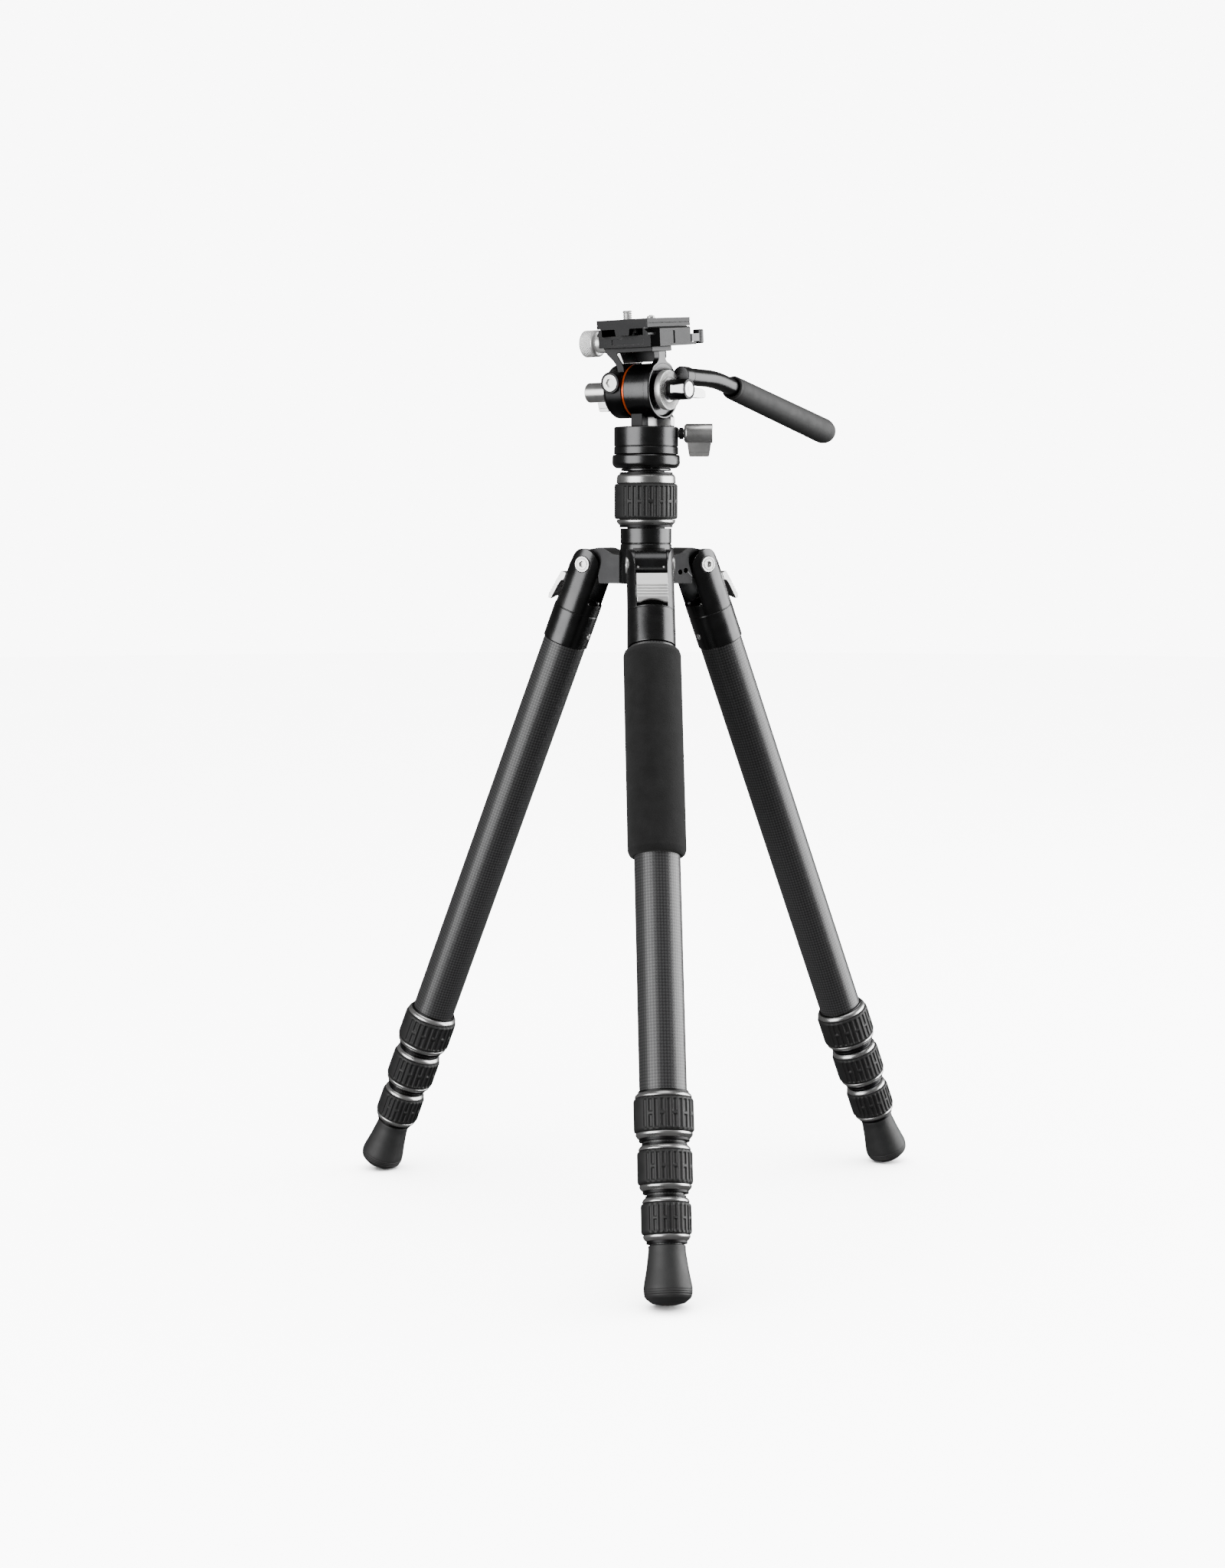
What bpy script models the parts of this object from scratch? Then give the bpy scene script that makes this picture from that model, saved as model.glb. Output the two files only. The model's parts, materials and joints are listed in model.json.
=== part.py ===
"""Travel tripod with a fluid video head, standing with its legs collapsed at the first spread angle.

Metres, +Z up. The front leg points to -Y. The origin is under the middle of the standing tripod's box.
Every moving piece hangs from an empty, or has its origin, on the axis it turns about or slides along.
"""
import math

import bmesh
import bpy
from mathutils import Vector

MM = 0.001

# Frame: the hub axis is the column axis, and heights are above the floor.
LEG_NAMES = {"front": -90.0, "right": 30.0, "left": 150.0}
SPREAD_DEG = 22.0
HINGE_RADIUS = 38.4 * MM
HINGE_HEIGHT = 420.2 * MM
TUBE_SIDES = 18
ROUND_SIDES = 24
SMALL_SIDES = 12
GAP = 0.3 * MM

# Leg stations are distances down the leg from its hinge pin.
TUBE_RADII = [14.0 * MM, 12.5 * MM, 11.0 * MM, 9.5 * MM]
TUBE_WALL = 1.2 * MM
TUBE_TOPS = [54.4 * MM, 78.0 * MM, 82.0 * MM, 86.0 * MM]
TUBE_ENDS = [344.0 * MM, 374.0 * MM, 404.0 * MM, 432.0 * MM]
LOCK_TOPS = [328.5 * MM, 359.0 * MM, 389.0 * MM]
LOCK_ENDS = [358.0 * MM, 388.0 * MM, 416.5 * MM]
LOCK_RADII = [17.7 * MM, 16.2 * MM, 14.7 * MM]
LOCK_BORE_GAP = 0.4 * MM
FOOT_TOP = 417.0 * MM
FOOT_SOCKET_END = 433.0 * MM
FOAM_TOP, FOAM_END = 58.5 * MM, 187.0 * MM
FOAM_RADIUS = 17.9 * MM

# Leg casting, its fork and the pin through it.
CASTING_RADIUS = 14.8 * MM
CASTING_END = 54.0 * MM
SPIGOT_END = 75.0 * MM
FORK_TOP_RADIUS = 10.0 * MM
FORK_GAP = 20.0 * MM
FORK_DEPTH = 24.0 * MM
PIN_RADIUS = 3.5 * MM
PIN_HEAD_RADIUS = 5.1 * MM
PIN_HALF = 15.2 * MM
TAB_WIDTH = 19.2 * MM
TAB_PIVOT = (13.2 * MM, 13.0 * MM)

# Hub and column.
HUB_BOTTOM, HUB_TOP = 408.0 * MM, 443.1 * MM
HUB_BORE = 12.5 * MM
ARM_WIDTH = 19.4 * MM
COLUMN_RADIUS = 12.0 * MM
COLUMN_BOTTOM, COLUMN_TOP = 250.0 * MM, 479.1 * MM

# Head.
PAN_TOP = 507.0 * MM
PAN_RADIUS = 20.4 * MM
TILT_HEIGHT = 529.8 * MM
TILT_AZIMUTH = -37.0
PLATFORM_TILT_DEG = 5.0
PAN_KNOB_AZIMUTH = -5.0
DRUM_RADIUS = 17.0 * MM
AXLE_RADIUS = 4.0 * MM
AXLE_BORE = 4.4 * MM
HANDLE_X = 21.0 * MM
HANDLE_Z = 9.0 * MM
HANDLE_RADIUS = 5.5 * MM
HANDLE_DROP_DEG = 11.0
GRIP_START, GRIP_LENGTH = 70.0 * MM, 134.0 * MM
PLATE_TOP = 44.7 * MM
PLATE_HALF_X, PLATE_FRONT, PLATE_BACK = 19.0 * MM, -24.5 * MM, 25.5 * MM
CLAMP_FRONT, CLAMP_BACK = -19.0 * MM, 21.0 * MM
CLAMP_FLOOR, CLAMP_BED = 27.4 * MM, 34.6 * MM
CLAMP_SCREW_Z = 31.0 * MM
CATCH_PIVOT = (18.6 * MM, 25.0 * MM)
SCREW_Y, LOCATING_Y = -17.5 * MM, 9.3 * MM

COLOURS = {
    "black_metal": ((0.012, 0.012, 0.013), 0.32, 0.9),
    "carbon": ((0.035, 0.035, 0.037), 0.35, 0.0),
    "rubber": ((0.028, 0.028, 0.029), 0.75, 0.0),
    "foot_rubber": ((0.045, 0.045, 0.046), 0.6, 0.0),
    "foam": ((0.012, 0.012, 0.012), 0.95, 0.0),
    "silver": ((0.55, 0.55, 0.54), 0.3, 1.0),
    "orange": ((0.85, 0.13, 0.015), 0.35, 0.6),
}


def clear_scene():
    for old in list(bpy.data.objects):
        bpy.data.objects.remove(old, do_unlink=True)


def new_collection(name):
    made = bpy.data.collections.new(name)
    bpy.context.scene.collection.children.link(made)
    return made


def make_material(name):
    colour, roughness, metallic = COLOURS[name]
    made = bpy.data.materials.new(name)
    made.use_nodes = True
    shader = made.node_tree.nodes["Principled BSDF"]
    shader.inputs["Base Color"].default_value = (*colour, 1.0)
    shader.inputs["Roughness"].default_value = roughness
    shader.inputs["Metallic"].default_value = metallic
    return made


clear_scene()
PARTS = new_collection("tripod_with_fluid_head")
CUTTERS = new_collection("cutters")
ROOT = bpy.data.objects.new("tripod_root", None)
PARTS.objects.link(ROOT)


def frame(name, parent, location=(0, 0, 0), turn=(0, 0, 0)):
    """An empty that carries a group of pieces; turn is in degrees."""
    made = bpy.data.objects.new(name, None)
    made.location = location
    made.rotation_euler = [math.radians(angle) for angle in turn]
    made.parent = parent
    PARTS.objects.link(made)
    return made


def add(name, mesh, parent, material=None, location=(0, 0, 0), turn=(0, 0, 0)):
    """Puts a mesh on a parent. Without a material it is a tool for a Boolean, kept with the cutters."""
    made = bpy.data.objects.new(name, mesh)
    made.location = location
    made.rotation_euler = [math.radians(angle) for angle in turn]
    made.parent = parent
    if material is None:
        CUTTERS.objects.link(made)
        made.hide_render = True
        made.display_type = "WIRE"
    else:
        PARTS.objects.link(made)
        mesh.materials.append(make_material(material))
    return made


def boolean(target, tool, operation):
    modifier = target.modifiers.new(tool.name, "BOOLEAN")
    modifier.object = tool
    modifier.operation = operation
    modifier.solver = "EXACT"


def cut(target, *tools):
    for tool in tools:
        boolean(target, tool, "DIFFERENCE")


def join(target, *tools):
    for tool in tools:
        boolean(target, tool, "UNION")


AXES = {"x": (0, 90, 0), "y": (-90, 0, 0), "z": (0, 0, 0)}


def turned(name, profile, parent, material=None, sides=ROUND_SIDES, axis="z", location=(0, 0, 0)):
    """A profile of (radius, height), listed down its outer side, turned about an axis through location.

    A profile that starts and ends on the axis is solid. Any other is closed into a ring with a bore.
    """
    mesh = bpy.data.meshes.new(name)
    points = [(radius, 0, height) for radius, height in profile]
    edges = [(i, i + 1) for i in range(len(points) - 1)]
    if profile[0][0] > 0:
        edges.append((len(points) - 1, 0))
    mesh.from_pydata(points, edges, [])
    made = add(name, mesh, parent, material, location, AXES[axis])
    screw = made.modifiers.new("turn", "SCREW")
    screw.axis = "Z"
    screw.steps = sides
    screw.render_steps = sides
    screw.use_merge_vertices = True
    screw.merge_threshold = 0.00001
    screw.use_smooth_shade = True
    return made


def rod(name, radius, low, high, parent, material=None, sides=SMALL_SIDES, axis="z", location=(0, 0, 0)):
    """A plain cylinder between two heights on its axis."""
    mesh = bpy.data.meshes.new(name)
    shape = bmesh.new()
    bmesh.ops.create_cone(
        shape, cap_ends=True, segments=sides, radius1=radius, radius2=radius, depth=high - low
    )
    bmesh.ops.translate(shape, verts=shape.verts, vec=(0, 0, (low + high) / 2))
    shape.to_mesh(mesh)
    shape.free()
    return add(name, mesh, parent, material, location, AXES[axis])


def box(name, low, high, parent, material=None):
    """A block between two corners of its parent's frame."""
    mesh = bpy.data.meshes.new(name)
    shape = bmesh.new()
    bmesh.ops.create_cube(shape, size=1.0)
    size = [b - a for a, b in zip(low, high)]
    middle = [(a + b) / 2 for a, b in zip(low, high)]
    bmesh.ops.scale(shape, verts=shape.verts, vec=size)
    bmesh.ops.translate(shape, verts=shape.verts, vec=middle)
    shape.to_mesh(mesh)
    shape.free()
    return add(name, mesh, parent, material)


def mesh_of_curve(name, curve):
    """The evaluated mesh of a curve, with its loose caps welded to its sides."""
    holder = bpy.data.objects.new(name + "_curve", curve)
    bpy.context.scene.collection.objects.link(holder)
    depsgraph = bpy.context.evaluated_depsgraph_get()
    mesh = bpy.data.meshes.new_from_object(holder.evaluated_get(depsgraph))
    bpy.data.objects.remove(holder, do_unlink=True)
    mesh.name = name
    shape = bmesh.new()
    shape.from_mesh(mesh)
    bmesh.ops.remove_doubles(shape, verts=shape.verts, dist=0.000005)
    bmesh.ops.recalc_face_normals(shape, faces=shape.faces)
    shape.to_mesh(mesh)
    shape.free()
    return mesh


def slab(name, outline, low, high, parent, material=None):
    """An outline of (x, z) points extruded along Y between two places."""
    curve = bpy.data.curves.new(name, "CURVE")
    curve.dimensions = "2D"
    curve.fill_mode = "BOTH"
    curve.extrude = (high - low) / 2
    spline = curve.splines.new("POLY")
    spline.points.add(len(outline) - 1)
    for point, (x, z) in zip(spline.points, outline):
        point.co = (x, z, 0, 1)
    spline.use_cyclic_u = True
    mesh = mesh_of_curve(name, curve)
    for vertex in mesh.vertices:
        x, z, along = vertex.co
        vertex.co = (x, (low + high) / 2 - along, z)
    return add(name, mesh, parent, material)


def wire(name, points, radius, parent, material=None, resolution=2):
    """A round bar along a list of points."""
    curve = bpy.data.curves.new(name, "CURVE")
    curve.dimensions = "3D"
    curve.bevel_depth = radius
    curve.bevel_resolution = resolution
    curve.use_fill_caps = True
    spline = curve.splines.new("POLY")
    spline.points.add(len(points) - 1)
    for point, place in zip(spline.points, points):
        point.co = (*place, 1)
    return add(name, mesh_of_curve(name, curve), parent, material)


def arc(centre_x, centre_z, radius, start_deg, end_deg, steps):
    angles = [start_deg + (end_deg - start_deg) * i / steps for i in range(steps + 1)]
    return [
        (centre_x + radius * math.cos(math.radians(a)), centre_z + radius * math.sin(math.radians(a)))
        for a in angles
    ]


def mm(*points):
    """Points given in millimetres, as metres."""
    return [tuple(value * MM for value in point) for point in points]


# ---------------------------------------------------------------- legs


def leg_frame(name, azimuth):
    """Origin on the hinge pin, +X away from the hub, -Z down the leg, Y along the pin."""
    angle = math.radians(azimuth)
    place = (HINGE_RADIUS * math.cos(angle), HINGE_RADIUS * math.sin(angle), HINGE_HEIGHT)
    return frame(f"{name}_leg_hinge", ROOT, place, (0, -SPREAD_DEG, azimuth))


def down(profile):
    """A profile given as (radius, distance down the leg)."""
    return [(radius, -distance) for radius, distance in profile]


def leg_casting(name, hinge):
    r = CASTING_RADIUS
    casting = turned(
        f"{name}_leg_casting",
        down([
            (0, -11 * MM), (r, -11 * MM), (r, 31.2 * MM), (r - 0.5 * MM, 31.6 * MM), (r, 32.0 * MM),
            (r, CASTING_END - 0.6 * MM), (r - 0.6 * MM, CASTING_END), (12.4 * MM, CASTING_END),
            (12.4 * MM, SPIGOT_END), (0, SPIGOT_END),
        ]),
        hinge, "black_metal", TUBE_SIDES,
    )
    side_view = [(r + 1 * MM, -85 * MM), (r + 1 * MM, -20 * MM)]
    side_view += arc(0, 0, FORK_TOP_RADIUS, 0, 180, 10)
    side_view += [(-r - 1 * MM, -20 * MM), (-r - 1 * MM, -85 * MM)]
    rounding = slab(f"{name}_fork_side_view", side_view, -20 * MM, 20 * MM, hinge)
    boolean(casting, rounding, "INTERSECT")
    half = FORK_GAP / 2
    cut(
        casting,
        box(f"{name}_fork_gap", (-20 * MM, -half, -FORK_DEPTH), (20 * MM, half, 20 * MM), hinge),
        box(f"{name}_tab_pocket", (8 * MM, -half + GAP, -31 * MM), (20 * MM, half - GAP, -23 * MM), hinge),
        rod(f"{name}_pin_bore", PIN_RADIUS + GAP, -20 * MM, 20 * MM, hinge, axis="y"),
    )
    for side in (-1, 1):
        ends = sorted((side * 12.6 * MM, side * 20 * MM))
        cut(casting, rod(f"{name}_pin_seat_{side}", PIN_HEAD_RADIUS + GAP, *ends, hinge, axis="y"))


def hinge_pin(name, hinge):
    """A shoulder bolt with a hexagon socket at each end, through the fork and the hub arm."""
    end, socket, neck = PIN_HALF, 2.2 * MM, 13 * MM
    half = [(0, end - 1.5 * MM), (socket, end - 1.5 * MM), (socket, end), (PIN_HEAD_RADIUS, end)]
    half += [(PIN_HEAD_RADIUS, neck), (PIN_RADIUS, neck)]
    profile = half + [(radius, -height) for radius, height in reversed(half)]
    turned(f"{name}_hinge_pin", profile, hinge, "silver", SMALL_SIDES, "y")


def angle_tab(name, hinge):
    """The sprung stop plate between the fork cheeks, flared at its lower end for a finger."""
    pivot_x, pivot_down = TAB_PIVOT
    pivot = frame(f"{name}_tab_pivot", hinge, (pivot_x, 0, -pivot_down))
    outline = mm((11.4, -10.8), (15.0, -10.8), (18.2, -27.0), (17.6, -30.4), (15.6, -30.4), (14.0, -20.0),
                 (13.0, -16.5), (11.4, -15.5))
    moved = [(x - pivot_x, z + pivot_down) for x, z in outline]
    slab(f"{name}_angle_tab", moved[::-1], -TAB_WIDTH / 2, TAB_WIDTH / 2, pivot, "silver")


def leg_tube(name, hinge, index):
    outer, inner = TUBE_RADII[index], TUBE_RADII[index] - TUBE_WALL
    top, end = TUBE_TOPS[index], TUBE_ENDS[index]
    turned(
        f"{name}_leg_tube_{index + 1}", down([(outer, top), (outer, end), (inner, end), (inner, top)]),
        hinge, "carbon", TUBE_SIDES,
    )


def twist_lock(name, parent, top, end, radius, upper_bore, lower_bore, sides=TUBE_SIDES):
    """A collar whose upper bore takes the end of one tube and whose lower bore passes the next one."""
    shoulder = top + 16 * MM
    ring = radius - 0.9 * MM
    turned(
        name,
        down([
            (ring - 1.5 * MM, top), (ring, top + 2 * MM), (radius, top + 5.5 * MM), (radius, end - 4.2 * MM),
            (ring, end - 2.4 * MM), (ring - 1.5 * MM, end), (lower_bore, end), (lower_bore, shoulder),
            (upper_bore, shoulder), (upper_bore, top),
        ]),
        parent, "rubber", sides,
    )


def foot(name, hinge):
    socket = TUBE_RADII[3] + GAP
    turned(
        f"{name}_foot",
        down(mm((10.6, 417.0), (10.9, 421.0), (12.3, 431.0), (14.0, 440.0), (14.2, 443.5), (13.2, 447.0),
                (9.5, 449.8), (4.5, 450.8), (0, 450.8)) + [(0, FOOT_SOCKET_END), (socket, FOOT_SOCKET_END),
                                                          (socket, FOOT_TOP)]),
        hinge, "foot_rubber", TUBE_SIDES,
    )


def foam_grip(hinge):
    top, end, full, bore = FOAM_TOP, FOAM_END, FOAM_RADIUS, TUBE_RADII[0] + GAP
    turned(
        "foam_grip",
        down([
            (15.4 * MM, top), (17.0 * MM, top + 1.2 * MM), (full, top + 4 * MM), (full, end - 4 * MM),
            (17.0 * MM, end - 1.2 * MM), (15.4 * MM, end), (bore, end), (bore, top),
        ]),
        hinge, "foam", TUBE_SIDES,
    )


def build_leg(name, azimuth):
    hinge = leg_frame(name, azimuth)
    leg_casting(name, hinge)
    hinge_pin(name, hinge)
    angle_tab(name, hinge)
    for index in range(4):
        leg_tube(name, hinge, index)
    for index in range(3):
        twist_lock(
            f"{name}_twist_lock_{index + 1}", hinge, LOCK_TOPS[index], LOCK_ENDS[index], LOCK_RADII[index],
            TUBE_RADII[index] + LOCK_BORE_GAP, TUBE_RADII[index + 1] + LOCK_BORE_GAP,
        )
    foot(name, hinge)
    if name == "front":
        foam_grip(hinge)


# ---------------------------------------------------------------- hub and column


def hub_arm(azimuth):
    """The lug between one fork's cheeks, seen from the side: humped on top and round about the pin."""
    holder = frame(f"arm_frame_{azimuth:.0f}", ROOT, turn=(0, 0, azimuth))
    pin_x, pin_z = HINGE_RADIUS, HINGE_HEIGHT
    outline = mm((13.6, 408.0), (29.0, 408.0), (29.2, 413.0), (33.5, 413.2))
    outline += arc(pin_x, pin_z, 9.3 * MM, -110, 85, 10)
    outline += mm((32.0, 430.6), (27.5, 430.9), (23.0, 429.0), (19.5, 426.6), (13.6, 426.0))
    return slab(f"hub_arm_{azimuth:.0f}", outline, -ARM_WIDTH / 2, ARM_WIDTH / 2, holder)


def hub():
    body = turned(
        "leg_hub",
        [(16.3 * MM, HUB_TOP), (16.3 * MM, 433.9 * MM), (15.8 * MM, 433.4 * MM), (16.3 * MM, 432.9 * MM),
         (17.2 * MM, 426.0 * MM), (17.2 * MM, HUB_BOTTOM), (HUB_BORE, HUB_BOTTOM), (HUB_BORE, HUB_TOP)],
        ROOT, "black_metal",
    )
    for azimuth in LEG_NAMES.values():
        join(body, hub_arm(azimuth))
    for name, azimuth in LEG_NAMES.items():
        holder = leg_frame(f"{name}_arm_bore", azimuth)
        cut(body, rod(f"{name}_arm_bore", PIN_RADIUS + GAP, -20 * MM, 20 * MM, holder, axis="y"))


def column():
    inner = COLUMN_RADIUS - 1.4 * MM
    turned(
        "column_tube",
        [(COLUMN_RADIUS, COLUMN_TOP), (COLUMN_RADIUS, COLUMN_BOTTOM), (inner, COLUMN_BOTTOM),
         (inner, COLUMN_TOP)],
        ROOT, "carbon",
    )
    turned(
        "column_lock",
        mm((15.6, 478.6), (18.0, 476.2), (18.8, 472.2), (20.2, 470.4), (20.2, 450.4), (18.8, 448.4),
           (18.4, 445.6), (16.4, 443.5), (12.6, 443.5), (12.6, 478.6)),
        ROOT, "rubber",
    )
    plug = inner - GAP
    turned(
        "column_top",
        [(0, 489.0 * MM), (4.7 * MM, 489.0 * MM), (4.7 * MM, 480.7 * MM), (15.9 * MM, 480.7 * MM),
         (15.9 * MM, 479.4 * MM), (plug, 479.4 * MM), (plug, 466.0 * MM), (0, 466.0 * MM)],
        ROOT, "black_metal",
    )


def weight_hook():
    """The plug in the column's foot, with an open hook for a weight bag."""
    plug = COLUMN_RADIUS - 1.4 * MM - GAP
    body = turned(
        "weight_hook",
        [(0, 262 * MM), (plug, 262 * MM), (plug, COLUMN_BOTTOM - GAP), (COLUMN_RADIUS, COLUMN_BOTTOM - GAP),
         (COLUMN_RADIUS - 0.8 * MM, 246.0 * MM), (5.0 * MM, 245.0 * MM), (4.0 * MM, 242.0 * MM),
         (0, 242.0 * MM)],
        ROOT, "silver",
    )
    centre, radius = 235.0 * MM, 6.0 * MM
    bend = [(x, 0, z) for x, z in arc(0, centre, radius, 90, -165, 16)]
    join(body, wire("hook_bend", [(0, 0, 244 * MM)] + bend, 1.6 * MM, ROOT))


# ---------------------------------------------------------------- head: pan


def pan_base():
    turned(
        "pan_base",
        mm((20.7, 489.5), (21.5, 488.3), (21.6, 483.6), (19.6, 481.1), (5.2, 481.1), (5.2, 489.5)),
        ROOT, "black_metal",
    )


def pan_housing(pan):
    r = PAN_RADIUS
    body = turned(
        "pan_housing",
        [(0, PAN_TOP), (r - 1.0 * MM, PAN_TOP), (r, PAN_TOP - 1.0 * MM), (r, 495.0 * MM),
         (r - 0.5 * MM, 494.6 * MM), (r, 494.2 * MM), (r + 0.1 * MM, 489.9 * MM), (0, 489.9 * MM)],
        pan, "black_metal", 28,
    )
    axis = frame("pan_knob_bore_axis", pan, (0, 0, 503 * MM), (0, 0, PAN_KNOB_AZIMUTH))
    cut(body, rod("pan_knob_bore", 3.5 * MM, 12 * MM, 24 * MM, axis, axis="x"))


def wing_knob(name, parent, stem, barrel, wing, material="silver"):
    """A barrel on a threaded stem along X, with one flat wing. Each is (start, end, radius or depth)."""
    stem_in, stem_out, stem_radius = stem
    barrel_in, barrel_out, barrel_radius = barrel
    body = turned(
        name,
        [(0, barrel_out), (barrel_radius - 0.6 * MM, barrel_out), (barrel_radius, barrel_out - 0.6 * MM),
         (barrel_radius, barrel_in + 1.2 * MM), (barrel_radius - 1.4 * MM, barrel_in),
         (stem_radius, barrel_in), (stem_radius, stem_out), (3.1 * MM, stem_out), (3.1 * MM, stem_in),
         (0, stem_in)],
        parent, material, 16, "x",
    )
    wing_in, wing_out, depth = wing
    outline = [(wing_in, -2 * MM), (wing_in + 1.6 * MM, -depth), (wing_out - 1.6 * MM, -depth),
               (wing_out, -2 * MM)]
    join(body, slab(f"{name}_wing", outline, -1.7 * MM, 1.7 * MM, parent))


def pan_knob(pan):
    axis = frame("pan_knob_axis", pan, (0, 0, 503 * MM), (0, 0, PAN_KNOB_AZIMUTH))
    wing_knob(
        "pan_lock_knob", axis, (13 * MM, 21 * MM, 3.7 * MM), (24 * MM, 42.2 * MM, 6.1 * MM),
        (26.5 * MM, 40.5 * MM, 14.6 * MM),
    )


def ring(name, low, high, outer, bore, parent, material=None, sides=ROUND_SIDES):
    """A plain ring about the tilt axis, between two places along it."""
    profile = [(outer, high), (outer, low), (bore, low), (bore, high)]
    return turned(name, profile, parent, material, sides, "x")


def tilt_drum(head):
    """The fixed drum that the camera platform tilts about, on a front post and a back web."""
    body = ring("tilt_drum", -6.3 * MM, 8.9 * MM, DRUM_RADIUS, AXLE_BORE, head, "black_metal")
    floor = PAN_TOP + GAP - TILT_HEIGHT
    join(
        body,
        box("drum_front_post", (-6.2 * MM, -12 * MM, floor), (4 * MM, -6 * MM, -11 * MM), head),
        box("drum_back_web", (-6.2 * MM, 9.5 * MM, floor), (8.8 * MM, 14.5 * MM, -7 * MM), head),
        box("drum_back_toe", (2 * MM, 9.8 * MM, floor), (12.5 * MM, 14.2 * MM, -16.8 * MM), head),
    )


def tilt_axle(head):
    rod("tilt_axle", AXLE_RADIUS, -19.5 * MM, 24 * MM, head, "silver", 16, "x")


# ---------------------------------------------------------------- head: tilt


def tilt_carrier(tilt):
    """The left cheek with its clamp-bolt ear, its arm and the bridge under the plate clamp."""
    body = turned(
        "tilt_carrier",
        [(AXLE_BORE, -8.3 * MM), (DRUM_RADIUS, -8.3 * MM), (DRUM_RADIUS, -21 * MM),
         (DRUM_RADIUS - 2 * MM, -23 * MM), (AXLE_BORE, -23 * MM)],
        tilt, "black_metal", ROUND_SIDES, "x",
    )
    arm = mm((-21.5, 27.1), (-17.5, 19.5), (-17.5, 10.0), (-8.6, 10.0), (-8.6, 21.0), (-5.5, 24.2),
             (13.3, 24.2), (13.3, 27.1))
    join(
        body,
        rod("carrier_ear", 6.8 * MM, -18.8 * MM, -3 * MM, tilt, None, 20, "y", (-15 * MM, 0, 6 * MM)),
        slab("carrier_arm", arm, -11.5 * MM, 11.5 * MM, tilt),
    )
    cut(
        body,
        rod("ear_bore", 5.8 * MM, -22 * MM, -16.9 * MM, tilt, None, 16, "y", (-15 * MM, 0, 6 * MM)),
        rod("ear_thread", 2.4 * MM, -18 * MM, -12 * MM, tilt, None, 12, "y", (-15 * MM, 0, 6 * MM)),
        rod("carrier_axle_bore", AXLE_BORE, -24 * MM, -8 * MM, tilt, None, ROUND_SIDES, "x"),
    )


def ear_screw(tilt):
    turned(
        "ear_screw",
        mm((0, -12.6), (2.0, -12.6), (2.0, -17.2), (5.4, -17.2), (5.4, -18.6), (4.9, -19.0), (2.5, -19.0),
           (2.5, -17.8), (0, -17.8)),
        tilt, "silver", 16, "y", (-15 * MM, 0, 6 * MM),
    )


def tilt_flange(tilt):
    """The right cheek, recessed for the handle rosette, with an arm up to the bridge."""
    body = turned(
        "tilt_flange",
        mm((AXLE_BORE / MM, 11.2), (15.6, 11.2), (16.4, 13.3), (17.6, 13.3), (18.2, 12.7), (18.2, 9.3),
           (AXLE_BORE / MM, 9.3)),
        tilt, "black_metal", ROUND_SIDES, "x",
    )
    join(body, box("flange_arm", (9.4 * MM, -8 * MM, 14 * MM), (13.2 * MM, 8 * MM, 23.9 * MM), tilt))


def tilt_knob(tilt):
    """The lock knob on the left end of the tilt axis, built along its own +X."""
    axis = frame("tilt_knob_axis", tilt, turn=(0, 0, 180))
    wing_knob(
        "tilt_lock_knob", axis, (20.3 * MM, 23.4 * MM, 4.6 * MM), (27 * MM, 43.6 * MM, 6.3 * MM),
        (26.6 * MM, 37.5 * MM, 12.4 * MM),
    )


def clamp_body(tilt):
    """The bed, the fixed jaw on the right and the shelf that carries the safety catch."""
    floor, bed = CLAMP_FLOOR / MM, CLAMP_BED / MM
    outline = mm((-16.8, floor), (21.8, floor), (21.8, bed + 3.8), (21.2, bed + 4.4), (16.9, bed + 4.4),
                 (16.9, bed + 4.0), (19.5, bed + 1.4), (19.5, bed), (-16.8, bed))
    body = slab("clamp_body", outline, CLAMP_FRONT, CLAMP_BACK, tilt, "black_metal")
    shelf_top = CLAMP_FLOOR + 1.8 * MM
    join(
        body,
        box(
            "catch_shelf", (15.5 * MM, 20 * MM, CLAMP_FLOOR + 0.1 * MM), (21.7 * MM, 28.2 * MM, shelf_top),
            tilt,
        ),
        rod("catch_pin", 1.5 * MM, shelf_top - MM, CLAMP_BED - GAP, tilt, location=(*CATCH_PIVOT, 0)),
    )
    cut(
        body,
        rod("clamp_screw_bore", 2.8 * MM, -18 * MM, -6 * MM, tilt, axis="x", location=(0, 0, CLAMP_SCREW_Z)),
        box("bed_window", (-9 * MM, -9 * MM, CLAMP_FLOOR - MM), (9 * MM, 9 * MM, CLAMP_BED + MM), tilt),
    )


def clamp_jaw(tilt):
    floor, bed = CLAMP_FLOOR / MM + 0.3, CLAMP_BED / MM
    outline = mm((-17.1, floor), (-17.1, bed), (-19.5, bed), (-19.5, bed + 1.4), (-16.9, bed + 4.0),
                 (-16.9, bed + 4.4), (-21.8, bed + 4.4), (-23.6, bed + 2.6), (-23.6, floor))
    jaw = slab("clamp_jaw", outline, CLAMP_FRONT + MM, CLAMP_BACK - MM, tilt, "black_metal")
    cut(jaw, rod("jaw_bore", 2.9 * MM, -26 * MM, -15 * MM, tilt, axis="x", location=(0, 0, CLAMP_SCREW_Z)))


def clamp_knob(tilt):
    turned(
        "clamp_knob",
        mm((0, -7.5), (2.2, -7.5), (2.2, -27.2), (6.3, -27.2), (6.3, -33.6), (7.6, -33.9), (8.5, -34.8),
           (8.5, -44.0), (7.6, -44.9), (0, -44.9)),
        tilt, "silver", 20, "x", (0, 0, CLAMP_SCREW_Z),
    )


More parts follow.
